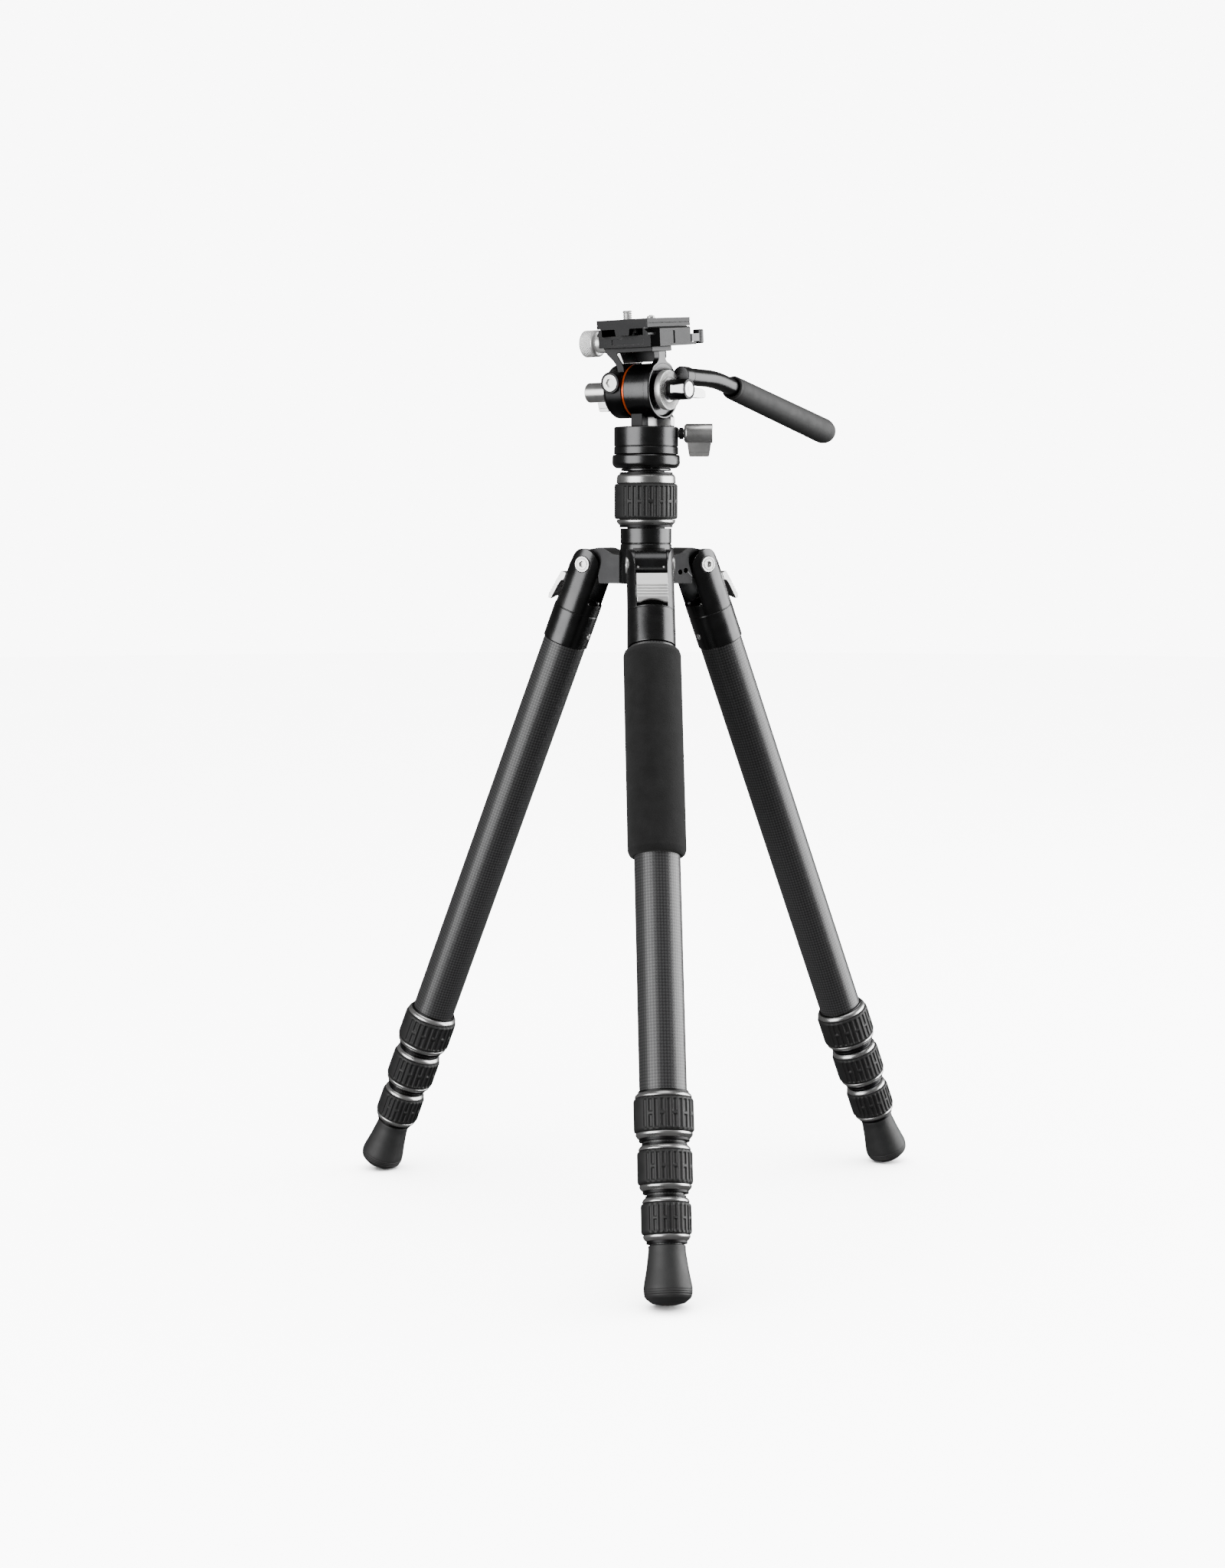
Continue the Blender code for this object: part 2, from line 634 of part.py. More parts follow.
def safety_catch(tilt):
    """A small lever on a pin behind the fixed jaw, ending in a thumb roll."""
    pivot = frame("catch_pivot", tilt, (*CATCH_PIVOT, CLAMP_FLOOR + 2.1 * MM))
    lever = box(
        "safety_catch", (-2.6 * MM, -2.4 * MM, 0), (2.8 * MM, 8 * MM, 4.8 * MM), pivot, "black_metal",
    )
    join(lever, rod("catch_roll", 3.3 * MM, -1.6 * MM, 7.4 * MM, pivot, location=(0.6 * MM, 9.4 * MM, 0)))
    cut(lever, rod("catch_bore", 1.9 * MM, -3 * MM, 9 * MM, pivot))


def quick_plate(tilt):
    """A dovetail plate 38 mm wide, with two grooves below, a screw hole and a hole for the locating pin."""
    top, slab_low = PLATE_TOP / MM, PLATE_TOP / MM - 5.3
    half, bed = PLATE_HALF_X / MM, CLAMP_BED / MM
    right = mm((half, bed + 0.4), (half, bed + 1.2), (16.4, bed + 3.8), (16.4, slab_low + 0.3),
               (half, slab_low), (half, top))
    left = [(-x, z) for x, z in reversed(right)]
    plate = slab("quick_release_plate", right + left, PLATE_FRONT, PLATE_BACK, tilt, "black_metal")
    groove_top = slab_low * MM - 0.4 * MM
    ends = (PLATE_FRONT - MM, PLATE_BACK + MM)
    cut(
        plate,
        box("plate_groove_left", (-15.2 * MM, ends[0], 30 * MM), (-9 * MM, ends[1], groove_top), tilt),
        box("plate_groove_right", (9 * MM, ends[0], 30 * MM), (15.2 * MM, ends[1], groove_top), tilt),
        rod("screw_bore", 3.5 * MM, 30 * MM, 50 * MM, tilt, location=(0, SCREW_Y, 0)),
        rod("screw_seat", 5.8 * MM, 30 * MM, 39.5 * MM, tilt, location=(0, SCREW_Y, 0)),
        rod("locating_bore", 3.0 * MM, 38.5 * MM, 50 * MM, tilt, location=(0, LOCATING_Y, 0)),
    )


def camera_screw(tilt):
    top = PLATE_TOP / MM
    turned(
        "camera_screw",
        mm((0, top + 5.4), (2.4, top + 5.4), (2.95, top + 4.8), (2.95, 39.2), (5.3, 39.2), (5.3, 36.2),
           (0, 36.2)),
        tilt, "silver", SMALL_SIDES, "z", (0, SCREW_Y, 0),
    )


def locating_pin(tilt):
    top = PLATE_TOP / MM
    turned(
        "locating_pin",
        mm((0, top + 2.4), (2.1, top + 2.4), (2.6, top + 1.9), (2.6, top - 2.6), (0, top - 2.6)),
        tilt, "silver", SMALL_SIDES, "z", (0, LOCATING_Y, 0),
    )


# ---------------------------------------------------------------- head: handle


def handle_route():
    """The bar leaves its socket level, then bends down to the grip: (y, z) points of its centre line."""
    drop = math.radians(HANDLE_DROP_DEG)
    bend_start, bend_radius = 38 * MM, 110 * MM
    points = [(10 * MM, HANDLE_Z)]
    for step in range(7):
        angle = drop * step / 6
        points.append((
            bend_start + bend_radius * math.sin(angle), HANDLE_Z - bend_radius * (1 - math.cos(angle)),
        ))
    end_y, end_z = points[-1]
    reach = (GRIP_START + 20 * MM - end_y) / math.cos(drop)
    points.append((end_y + reach * math.cos(drop), end_z - reach * math.sin(drop)))
    return points


def handle(arm):
    bar_line = (HANDLE_X, 0, HANDLE_Z)
    socket = rod("handle_socket", 6.9 * MM, 7.6 * MM, 22 * MM, arm, None, 20, "y", bar_line)
    rosette = ring("handle_rosette", 13.7 * MM, 18.2 * MM, 12.5 * MM, AXLE_BORE, arm, "silver")
    neck = box("rosette_neck", (14.2 * MM, 4 * MM, 3 * MM), (18 * MM, 14 * MM, 12 * MM), arm)
    join(rosette, socket, neck)
    cut(
        rosette,
        rod("socket_bore", HANDLE_RADIUS + GAP, 9.4 * MM, 24 * MM, arm, None, 16, "y", bar_line),
        rod("rosette_knob_clearance", 6.9 * MM, 18.2 * MM, 32 * MM, arm, None, 20, "x"),
    )
    route = [(HANDLE_X, y, z) for y, z in handle_route()]
    wire("handle_bar", route, HANDLE_RADIUS, arm, "black_metal", 3)


def handle_grip(arm):
    """A tapered rubber sleeve, closed at its outer end, along the straight end of the bar."""
    end_y, end_z = handle_route()[-1]
    drop = math.radians(HANDLE_DROP_DEG)
    start_z = end_z + (end_y - GRIP_START) * math.tan(drop)
    bore_depth = (end_y - GRIP_START) / math.cos(drop) + 1.0 * MM
    bore = HANDLE_RADIUS + GAP
    holder = frame("grip_axis", arm, (HANDLE_X, GRIP_START, start_z), (-90 - HANDLE_DROP_DEG, 0, 0))
    length = GRIP_LENGTH
    turned(
        "handle_grip",
        [(0, length), (4.5 * MM, length - 0.8 * MM), (7.4 * MM, length - 3.4 * MM),
         (8.7 * MM, length - 8 * MM), (7.8 * MM, 2 * MM), (7.2 * MM, 0), (bore, 0), (bore, bore_depth),
         (0, bore_depth)],
        holder, "foot_rubber", 20,
    )


def handle_knob(arm):
    """The knob that clamps the rosette, with a cap disc and one flat wing towards the bar."""
    body = turned(
        "handle_lock_knob",
        mm((0, 32.4), (5.7, 32.4), (6.5, 31.8), (6.5, 18.6), (AXLE_BORE / MM, 18.6), (AXLE_BORE / MM, 25),
           (0, 25)),
        arm, "black_metal", 20, "x",
    )
    join(body, box("handle_knob_wing", (28.4 * MM, 3 * MM, -5 * MM), (31.4 * MM, 21 * MM, 1.4 * MM), arm))


# ---------------------------------------------------------------- assembly


def build_head():
    pan_base()
    pan = frame("pan_axis", ROOT)
    pan_housing(pan)
    pan_knob(pan)
    head = frame("tilt_axis", pan, (0, 0, TILT_HEIGHT), (0, 0, TILT_AZIMUTH))
    tilt_drum(head)
    tilt_axle(head)
    ring("accent_ring", -8.0 * MM, -6.6 * MM, 16.6 * MM, 10 * MM, head, "orange")
    tilt = frame("tilt_body", head, turn=(PLATFORM_TILT_DEG, 0, 0))
    for build in (
        tilt_carrier, ear_screw, tilt_flange, tilt_knob, clamp_body, clamp_jaw, clamp_knob, safety_catch,
        quick_plate, camera_screw, locating_pin,
    ):
        build(tilt)
    arm = frame("handle_axis", tilt, turn=(-PLATFORM_TILT_DEG, 0, 0))
    for build in (handle, handle_grip, handle_knob):
        build(arm)


def centre_on_origin():
    """Moves the whole tripod so that the origin is under the middle of its box."""
    bpy.context.view_layer.update()
    depsgraph = bpy.context.evaluated_depsgraph_get()
    low, high = Vector((1e9,) * 3), Vector((-1e9,) * 3)
    for piece in PARTS.objects:
        if piece.type != "MESH":
            continue
        shape = piece.evaluated_get(depsgraph)
        for vertex in shape.to_mesh().vertices:
            place = shape.matrix_world @ vertex.co
            low = Vector(map(min, low, place))
            high = Vector(map(max, high, place))
    middle = (low + high) / 2
    ROOT.location = (-middle.x, -middle.y, -low.z)


for leg_name, leg_azimuth in LEG_NAMES.items():
    build_leg(leg_name, leg_azimuth)
hub()
column()
weight_hook()
build_head()
for part in PARTS.objects:
    if part.type == "MESH":
        part.data.shade_smooth()
        part.data.set_sharp_from_angle(angle=math.radians(35))
centre_on_origin()
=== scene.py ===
"""The looks of a travel tripod with a fluid video head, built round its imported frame.

Outlines are in millimetres, in a frame taken from the joints: one for each leg, the column, the head, the
tilted platform and the pan knob. Finer pieces stand for the CAD nodes and ride on the same bodies.
"""

import json
import math

import bmesh
import bpy
from mathutils import Matrix, Vector


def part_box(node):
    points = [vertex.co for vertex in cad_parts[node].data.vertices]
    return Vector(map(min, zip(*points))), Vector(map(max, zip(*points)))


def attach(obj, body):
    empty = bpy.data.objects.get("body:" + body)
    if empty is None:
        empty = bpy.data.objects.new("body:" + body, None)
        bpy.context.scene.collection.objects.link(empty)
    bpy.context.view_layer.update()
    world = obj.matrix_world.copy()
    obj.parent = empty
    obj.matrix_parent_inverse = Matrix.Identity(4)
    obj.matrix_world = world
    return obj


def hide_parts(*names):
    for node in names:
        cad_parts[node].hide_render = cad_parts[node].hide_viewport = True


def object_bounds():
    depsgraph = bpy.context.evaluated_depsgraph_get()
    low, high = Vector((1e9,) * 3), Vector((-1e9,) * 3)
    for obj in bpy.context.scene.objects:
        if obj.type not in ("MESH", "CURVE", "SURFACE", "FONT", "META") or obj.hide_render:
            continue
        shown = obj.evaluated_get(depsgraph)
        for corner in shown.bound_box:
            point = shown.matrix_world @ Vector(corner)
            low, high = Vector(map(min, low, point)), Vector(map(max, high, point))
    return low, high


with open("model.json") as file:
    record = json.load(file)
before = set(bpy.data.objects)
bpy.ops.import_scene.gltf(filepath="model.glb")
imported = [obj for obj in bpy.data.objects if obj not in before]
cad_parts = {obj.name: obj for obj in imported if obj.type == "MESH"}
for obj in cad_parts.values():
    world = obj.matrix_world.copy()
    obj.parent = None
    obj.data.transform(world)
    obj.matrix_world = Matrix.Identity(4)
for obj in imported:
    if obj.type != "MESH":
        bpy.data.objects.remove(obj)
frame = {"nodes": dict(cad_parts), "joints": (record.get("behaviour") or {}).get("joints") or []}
CAD_LOW, CAD_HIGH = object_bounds()

MM = 0.001
FULL_TURN = 2 * math.pi
JOINTS = {joint["name"]: joint for joint in frame["joints"]}
LEGS = ("front", "right", "left")
SIDES = ((-1, "left"), (1, "right"))
HUB_BOTTOM = 408.0
TUBE_RADII = (14.0, 12.5, 11.0, 9.5)
COLUMN_RADIUS = 12.0
FOAM_RISE = 2.4
PAD_SPANS = ((-11.5, 5.0), (13.4, 23.6))
SCREW_Y, LOCATING_Y = -17.5, 9.3
PANEL_SIDE = Vector((-0.94, -0.34, 0.0))

HANDLE_X, HANDLE_Z, HANDLE_RADIUS = 21.0, 9.0, 5.5
HANDLE_DROP = math.radians(11)
GRIP_START, GRIP_LENGTH = 70.0, 134.0

FLAT_AREA = 40e-6
SHARP_ANGLE = math.radians(38)
BEVEL_ANGLE = math.radians(35)

# Each soft box: name, bearing from the camera's side to the right, rise, distance, width, height, watts.
SOFT_BOXES = (
    ("left_box", -52.0, 6.0, 2.2, 2.0, 2.2, 105.0),
    ("right_box", 95.0, 6.0, 2.2, 2.4, 2.2, 178.0),
    ("top_box", 0.0, 80.0, 2.4, 1.6, 1.6, 25.0),
)
AMBIENT, BACKDROP, FLOOR_LIGHT = 0.14, 9.0, 32.0
FLOOR_RADIUS, FLOOR_LIGHT_SPREAD = 7.0, math.radians(100)
CAMERA_OFFSET = Vector((-0.0978, -1.4986, 0.4426))
CAMERA_HEADING, CAMERA_PITCH, LENS = 2.918, 6.22, 53.70

ALONG = {
    "x": Matrix.Rotation(math.radians(90), 4, "Y"),
    "y": Matrix.Rotation(math.radians(-90), 4, "X"),
    "z": Matrix.Identity(4),
}


# ---- frames ----


def axes(origin, x_axis, y_axis, z_axis):
    """A frame from its origin in metres and its three axes."""
    return Matrix.Translation(origin) @ Matrix((x_axis, y_axis, z_axis)).transposed().to_4x4()


def level_frame(origin, x_axis):
    """A frame with Z up and X along a level direction."""
    x_axis = Vector((x_axis[0], x_axis[1], 0)).normalized()
    up = Vector((0, 0, 1))
    return axes(origin, x_axis, up.cross(x_axis), up)


def leg_frame(leg):
    """Origin on the hinge pin, X away from the hub, Y along the pin and Z up the leg."""
    spread = JOINTS[f"{leg}_leg_spread"]
    y_axis = -Vector(spread["axis"])
    z_axis = -Vector(JOINTS[f"{leg}_section_2_slide"]["axis"])
    return axes(spread["pos_m"], y_axis.cross(z_axis), y_axis, z_axis)


PAN_AXIS = JOINTS["pan"]["pos_m"]
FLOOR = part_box("leg_hub")[0].z - HUB_BOTTOM * MM
COLUMN = Matrix.Translation((*PAN_AXIS[:2], FLOOR))
HEAD = level_frame((*PAN_AXIS[:2], JOINTS["tilt"]["pos_m"][2]), JOINTS["tilt"]["axis"])
PLATE_BACK = -Vector(JOINTS["plate_slide"]["axis"])
TILT_LINE = HEAD.col[0].to_3d()
PLATFORM = axes(HEAD.translation, TILT_LINE, PLATE_BACK, TILT_LINE.cross(PLATE_BACK))
KNOB_TURN = JOINTS["pan_knob_turn"]
PAN_KNOB = level_frame((*PAN_AXIS[:2], KNOB_TURN["pos_m"][2]), KNOB_TURN["axis"])


def at(where, x=0.0, y=0.0, z=0.0):
    """A frame moved within itself, by millimetres."""
    return where @ Matrix.Translation((x * MM, y * MM, z * MM))


def span(node, where):
    """The lowest and highest corner of a CAD node in a frame, in millimetres."""
    inverse = where.inverted()
    points = [inverse @ vertex.co / MM for vertex in frame["nodes"][node].data.vertices]
    low = [min(point[i] for point in points) for i in range(3)]
    high = [max(point[i] for point in points) for i in range(3)]
    return low, high


def stations(node, where):
    """How far down the frame a round CAD node starts and ends, and its radius."""
    low, high = span(node, where)
    return -high[2], -low[2], high[0]


# ---- outlines ----


def eased(points, radius, closed=False, steps=4):
    """The same outline with every corner rounded off over about that radius."""
    points = [point for i, point in enumerate(points) if point != points[i - 1]]
    last = len(points) - 1
    made = []
    for i, corner in enumerate(points):
        if not closed and i in (0, last):
            made.append(tuple(corner))
            continue
        corner = Vector(corner)
        before = Vector(points[i - 1]) - corner
        after = Vector(points[(i + 1) % len(points)]) - corner
        start = corner + before * min(radius / before.length, 0.46)
        end = corner + after * min(radius / after.length, 0.46)
        for step in range(steps + 1):
            t = step / steps
            made.append(tuple(start * (1 - t) ** 2 + corner * 2 * t * (1 - t) + end * t ** 2))
    return made


def arc(centre, radius, start_deg, end_deg, steps=24):
    angles = [math.radians(start_deg + (end_deg - start_deg) * i / steps) for i in range(steps + 1)]
    return [(centre[0] + radius * math.cos(a), centre[1] + radius * math.sin(a)) for a in angles]


def rectangle(low, high, radius=0.0):
    corners = [(low[0], low[1]), (high[0], low[1]), (high[0], high[1]), (low[0], high[1])]
    return eased(corners, radius, True) if radius else corners


def polygon(sides, radius):
    return arc((0, 0), radius, 0, 360 * (1 - 1 / sides), sides - 1)


def down(profile):
    """A leg's profile, given as (radius, distance down the leg)."""
    return [(radius, -distance) for radius, distance in profile]


# ---- shapes ----


def new_piece(name, shape, where):
    """An object from a bmesh drawn in millimetres."""
    bmesh.ops.scale(shape, vec=(MM, MM, MM), verts=shape.verts)
    mesh = bpy.data.meshes.new(name)
    shape.to_mesh(mesh)
    shape.free()
    made = bpy.data.objects.new(name, mesh)
    bpy.context.scene.collection.objects.link(made)
    made.matrix_world = where
    return made


def turned(name, profile, where, axis="z", sides=96, ripple=None):
    """A profile of (radius, height), listed down its outer side, turned about an axis of the frame.

    One that starts on the axis is solid, and any other closes into a ring with a bore.
    ripple(angle, radius, height) gives how far a point moves outwards.
    """
    shape = bmesh.new()
    rings = []
    for radius, height in profile:
        if radius == 0:
            rings.append([shape.verts.new((0, 0, height))])
            continue
        circle = []
        for step in range(sides):
            angle = 2 * math.pi * step / sides
            reach = radius + (ripple(angle, radius, height) if ripple else 0)
            circle.append(shape.verts.new((reach * math.cos(angle), reach * math.sin(angle), height)))
        rings.append(circle)
    pairs = list(zip(rings, rings[1:]))
    if profile[0][0] > 0:
        pairs.append((rings[-1], rings[0]))
    for upper, lower in pairs:
        for i in range(sides):
            corners = [upper[i % len(upper)], lower[i % len(lower)]]
            corners += [lower[(i + 1) % len(lower)], upper[(i + 1) % len(upper)]]
            corners = list(dict.fromkeys(corners))
            if len(corners) > 2:
                shape.faces.new(corners)
    return new_piece(name, shape, where @ ALONG[axis])


def prism(name, outline, low, high, where, plane="xz"):
    """An outline in one plane of the frame, between two places along the frame's third axis."""
    point_at = {
        "xy": lambda a, b, along: (a, b, along),
        "xz": lambda a, b, along: (a, along, b),
        "yz": lambda a, b, along: (along, a, b),
    }[plane]
    shape = bmesh.new()
    ends = [[shape.verts.new(point_at(a, b, along)) for a, b in outline] for along in (low, high)]
    for end in ends:
        shape.faces.new(end)
    for i in range(len(outline)):
        shape.faces.new((ends[0][i - 1], ends[0][i], ends[1][i], ends[1][i - 1]))
    bmesh.ops.recalc_face_normals(shape, faces=shape.faces)
    return new_piece(name, shape, where)


def block(name, low, high, where, radius=0.0):
    """A block between two corners, with its upright edges rounded."""
    return prism(name, rectangle(low[:2], high[:2], radius), low[2], high[2], where, "xy")


def rod(name, radius, low, high, where, axis="z", sides=48):
    return turned(name, [(0, high), (radius, high), (radius, low), (0, low)], where, axis, sides)


def bar(name, points, radius, where):
    """A round bar along a list of points, closed at both ends."""
    curve = bpy.data.curves.new(name, "CURVE")
    curve.dimensions = "3D"
    curve.bevel_depth = radius * MM
    curve.bevel_resolution = 10
    curve.use_fill_caps = True
    spline = curve.splines.new("POLY")
    spline.points.add(len(points) - 1)
    for point, spot in zip(spline.points, points):
        point.co = (*[value * MM for value in spot], 1)
    holder = bpy.data.objects.new(name + "_path", curve)
    bpy.context.scene.collection.objects.link(holder)
    evaluated = holder.evaluated_get(bpy.context.evaluated_depsgraph_get())
    mesh = bpy.data.meshes.new_from_object(evaluated)
    bpy.data.objects.remove(holder, do_unlink=True)
    shape = bmesh.new()
    shape.from_mesh(mesh)
    bmesh.ops.remove_doubles(shape, verts=shape.verts, dist=0.000005)
    bmesh.ops.recalc_face_normals(shape, faces=shape.faces)
    bmesh.ops.scale(shape, vec=(1 / MM, 1 / MM, 1 / MM), verts=shape.verts)
    return new_piece(name, shape, where)


def settle(piece):
    """Turns a piece's modifiers into its mesh."""
    bpy.context.view_layer.update()
    evaluated = piece.evaluated_get(bpy.context.evaluated_depsgraph_get())
    mesh = bpy.data.meshes.new_from_object(evaluated)
    piece.modifiers.clear()
    piece.data = mesh


def combine(piece, operation, tools):
    for tool in tools:
        modifier = piece.modifiers.new(tool.name, "BOOLEAN")
        modifier.object = tool
        modifier.operation = operation
        modifier.solver = "EXACT"
    settle(piece)
    for tool in tools:
        bpy.data.objects.remove(tool, do_unlink=True)
    return piece


def cut(piece, *tools):
    return combine(piece, "DIFFERENCE", tools)


def join(piece, *tools):
    return combine(piece, "UNION", tools)


def common(piece, *tools):
    return combine(piece, "INTERSECT", tools)


def soften(piece, width, segments=3):
    """Rounds the sharp edges."""
    modifier = piece.modifiers.new("soft_edges", "BEVEL")
    modifier.width = width * MM
    modifier.segments = segments
    modifier.limit_method = "ANGLE"
    modifier.angle_limit = BEVEL_ANGLE
    settle(piece)
    return piece


def squared(piece):
    """Turns the piece's mesh instead of its object, so that its own box lies along the frame's axes."""
    where, turn, _ = piece.matrix_world.decompose()
    piece.data.transform(turn.to_matrix().to_4x4())
    piece.matrix_world = Matrix.Translation(where)
    return piece


def place(piece, body, finish, *nodes, shade_on_flats=None):
    """Gives a finished piece its shading, its finish, its body and the CAD nodes that it stands for.

    shade_on_flats names a darker finish put on its large flat faces as painted shade.
    """
    material, slot = FINISHES[finish]
    piece.data.materials.clear()
    piece.data.materials.append(material)
    if shade_on_flats:
        piece.data.materials.append(FINISHES[shade_on_flats][0])
    # Faces larger than FLAT_AREA take the darker finish: painted shade on the flat faces.
    for face in piece.data.polygons:
        face.material_index = int(bool(shade_on_flats) and face.area > FLAT_AREA)
    piece.data.shade_smooth()
    piece.data.set_sharp_from_angle(angle=SHARP_ANGLE)
    normals = piece.modifiers.new("normals", "WEIGHTED_NORMAL")
    normals.keep_sharp = True
    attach(piece, body)
    if nodes:
        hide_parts(*nodes)
    return piece


# ---- materials ----


def new_material(name, colour, roughness, metallic=0.0, coat=0.0):
    made = bpy.data.materials.new(name)
    made.use_nodes = True
    shader = made.node_tree.nodes["Principled BSDF"]
    shader.inputs["Base Color"].default_value = (*colour, 1.0)
    shader.inputs["Roughness"].default_value = roughness
    shader.inputs["Metallic"].default_value = metallic
    shader.inputs["Coat Weight"].default_value = coat
    return made


def node(tree, kind, inputs=None, **settings):
    """A shader node with its settings, and its inputs as values or as links."""
    made = tree.nodes.new("ShaderNode" + kind)
    for key, value in settings.items():
        setattr(made, key, value)
    for key, value in (inputs or {}).items():
        if isinstance(value, bpy.types.NodeSocket):
            tree.links.new(value, made.inputs[key])
        else:
            made.inputs[key].default_value = value
    return made


def maths(tree, operation, first, second=0.0, third=0.0):
    inputs = {0: first, 1: second, 2: third}
    return node(tree, "Math", inputs, operation=operation).outputs[0]


def object_coordinates(tree, scale=(1, 1, 1)):
    source = node(tree, "TexCoord").outputs["Object"]
    return node(tree, "Mapping", {"Vector": source, "Scale": scale}).outputs[0]


def noise(tree, scale, detail=2.0, stretch=(1, 1, 1)):
    """Noise with a scale in grains a metre."""
    inputs = {"Vector": object_coordinates(tree, stretch), "Scale": scale, "Detail": detail}
    return node(tree, "TexNoise", inputs).outputs[0]


def between(tree, value, low, high, start=0.0, end=1.0):
    inputs = {"Value": value, "From Min": low, "From Max": high, "To Min": start, "To Max": end}
    return node(tree, "MapRange", inputs).outputs[0]


def two_colours(tree, factor, first, second):
    made = node(tree, "Mix", {0: factor}, data_type="RGBA")
    for index, colour in ((6, first), (7, second)):
        if isinstance(colour, bpy.types.NodeSocket):
            tree.links.new(colour, made.inputs[index])
        else:
            made.inputs[index].default_value = (*colour, 1.0)
    return made.outputs[2]


def worn_edges(tree, radius_mm, grain):
    """From 0 on a face to 1 on its worn edges, broken up by a grain."""
    soft = node(tree, "Bevel", {"Radius": radius_mm * MM}, samples=4).outputs[0]
    true = node(tree, "NewGeometry").outputs["Normal"]
    turn = node(tree, "VectorMath", {0: soft, 1: true}, operation="DOT_PRODUCT").outputs["Value"]
    return maths(tree, "MULTIPLY", between(tree, turn, 0.995, 0.9), grain)


def bumped(tree, height, distance_mm, strength, normal=None):
    inputs = {"Height": height, "Distance": distance_mm * MM, "Strength": strength}
    if normal is not None:
        inputs["Normal"] = normal
    return node(tree, "Bump", inputs).outputs[0]


def link(tree, socket, name):
    tree.links.new(socket, tree.nodes["Principled BSDF"].inputs[name])


def metal(name, dark, light, roughness, wear, grain_mm=0.01, metallic=1.0, lathe=False):
    """Blasted or turned metal: a fine grain, cloudy gloss and edges rubbed lighter."""
    made = new_material(name, dark, roughness, metallic)
    tree = made.node_tree
    clouds = noise(tree, 90.0, 3.0)
    grain = noise(tree, 5200.0, 1.0)
    rubbed = worn_edges(tree, 0.35, between(tree, noise(tree, 900.0, 3.0), 0.35, 0.65, 0.25, 1.0))
    tone = two_colours(tree, between(tree, clouds, 0.35, 0.65), dark, light)
    link(tree, two_colours(tree, rubbed, tone, wear), "Base Color")
    gloss = between(tree, clouds, 0.3, 0.7, roughness * 0.88, roughness * 1.14)
    link(tree, maths(tree, "MULTIPLY_ADD", grain, 0.07, gloss), "Roughness")
    height = noise(tree, 60.0, 4.0, (1, 1, 90)) if lathe else grain
    round_edges = node(tree, "Bevel", {"Radius": 0.25 * MM}, samples=4).outputs[0]
    link(tree, bumped(tree, height, grain_mm, 0.6, round_edges), "Normal")
    return made


def carbon(name, radius_mm):
    """A plain weave of flat fibre tows at 45 degrees round a tube, under a clear coat."""
    tow = 1.35
    made = new_material(name, (0.02, 0.02, 0.02), 0.4, 0.0, 0.22)
    tree = made.node_tree
    shader = tree.nodes["Principled BSDF"]
    shader.inputs["Coat Roughness"].default_value = 0.3
    shader.inputs["Specular IOR Level"].default_value = 0.38
    turns = 4 * round(2 * math.pi * radius_mm / (tow * math.sqrt(2)) / 4)
    split = node(tree, "SeparateXYZ", {0: node(tree, "TexCoord").outputs["Object"]}).outputs
    angle = maths(tree, "ARCTAN2", split[1], split[0])
    across = maths(tree, "MULTIPLY", angle, turns / FULL_TURN)
    along = maths(tree, "DIVIDE", split[2], tow * math.sqrt(2) * MM)
    first = maths(tree, "ADD", across, along)
    second = maths(tree, "SUBTRACT", across, along)
    steps = maths(tree, "ADD", maths(tree, "FLOOR", first), maths(tree, "FLOOR", second))
    over = maths(tree, "LESS_THAN", maths(tree, "FLOORED_MODULO", steps, 2.0), 0.5)
    crowns = []
    for way in (first, second):
        part = maths(tree, "MULTIPLY", maths(tree, "FRACT", way), math.pi)
        crowns.append(maths(tree, "SINE", part))
    height = node(tree, "Mix", {0: over, 2: crowns[0], 3: crowns[1]}, data_type="FLOAT").outputs[0]
    fibres = noise(tree, 3200.0, 2.0)
    # Squares where one tow direction lies on top get a light tone, the others a dark one: a painted highlight
    # on one direction of tows.
    tone = two_colours(tree, over, (0.008, 0.008, 0.0084), (0.046, 0.046, 0.047))
    # Each tow darkens towards its edges: painted shade in the grooves between tows.
    tone = two_colours(tree, between(tree, height, 0.0, 0.5, 0.75, 0.0), tone, (0.006, 0.006, 0.006))
    tone = two_colours(tree, between(tree, fibres, 0.3, 0.8, 0.0, 0.35), tone, (0.07, 0.07, 0.072))
    link(tree, tone, "Base Color")
    link(tree, maths(tree, "MULTIPLY_ADD", over, -0.12, between(tree, fibres, 0.2, 0.8, 0.38, 0.48)),
         "Roughness")
    link(tree, bumped(tree, height, 0.05, 0.55), "Normal")
    return made


def rubber(name, dark, light, roughness):
    """Moulded rubber with a fine skin, a cloudy tone and rubbed edges."""
    made = new_material(name, dark, roughness)
    made.node_tree.nodes["Principled BSDF"].inputs["Specular IOR Level"].default_value = 0.4
    tree = made.node_tree
    clouds = noise(tree, 160.0, 4.0)
    skin = noise(tree, 3800.0, 2.0)
    rubbed = worn_edges(tree, 0.4, between(tree, noise(tree, 700.0, 2.0), 0.3, 0.7, 0.2, 0.8))
    tone = two_colours(tree, between(tree, clouds, 0.3, 0.7), dark, light)
    paler = tuple(value * 2.0 for value in light)
    link(tree, two_colours(tree, rubbed, tone, paler), "Base Color")
    link(tree, between(tree, clouds, 0.25, 0.75, roughness * 0.92, min(1.0, roughness * 1.1)), "Roughness")
    link(tree, bumped(tree, skin, 0.03, 0.5), "Normal")
    return made


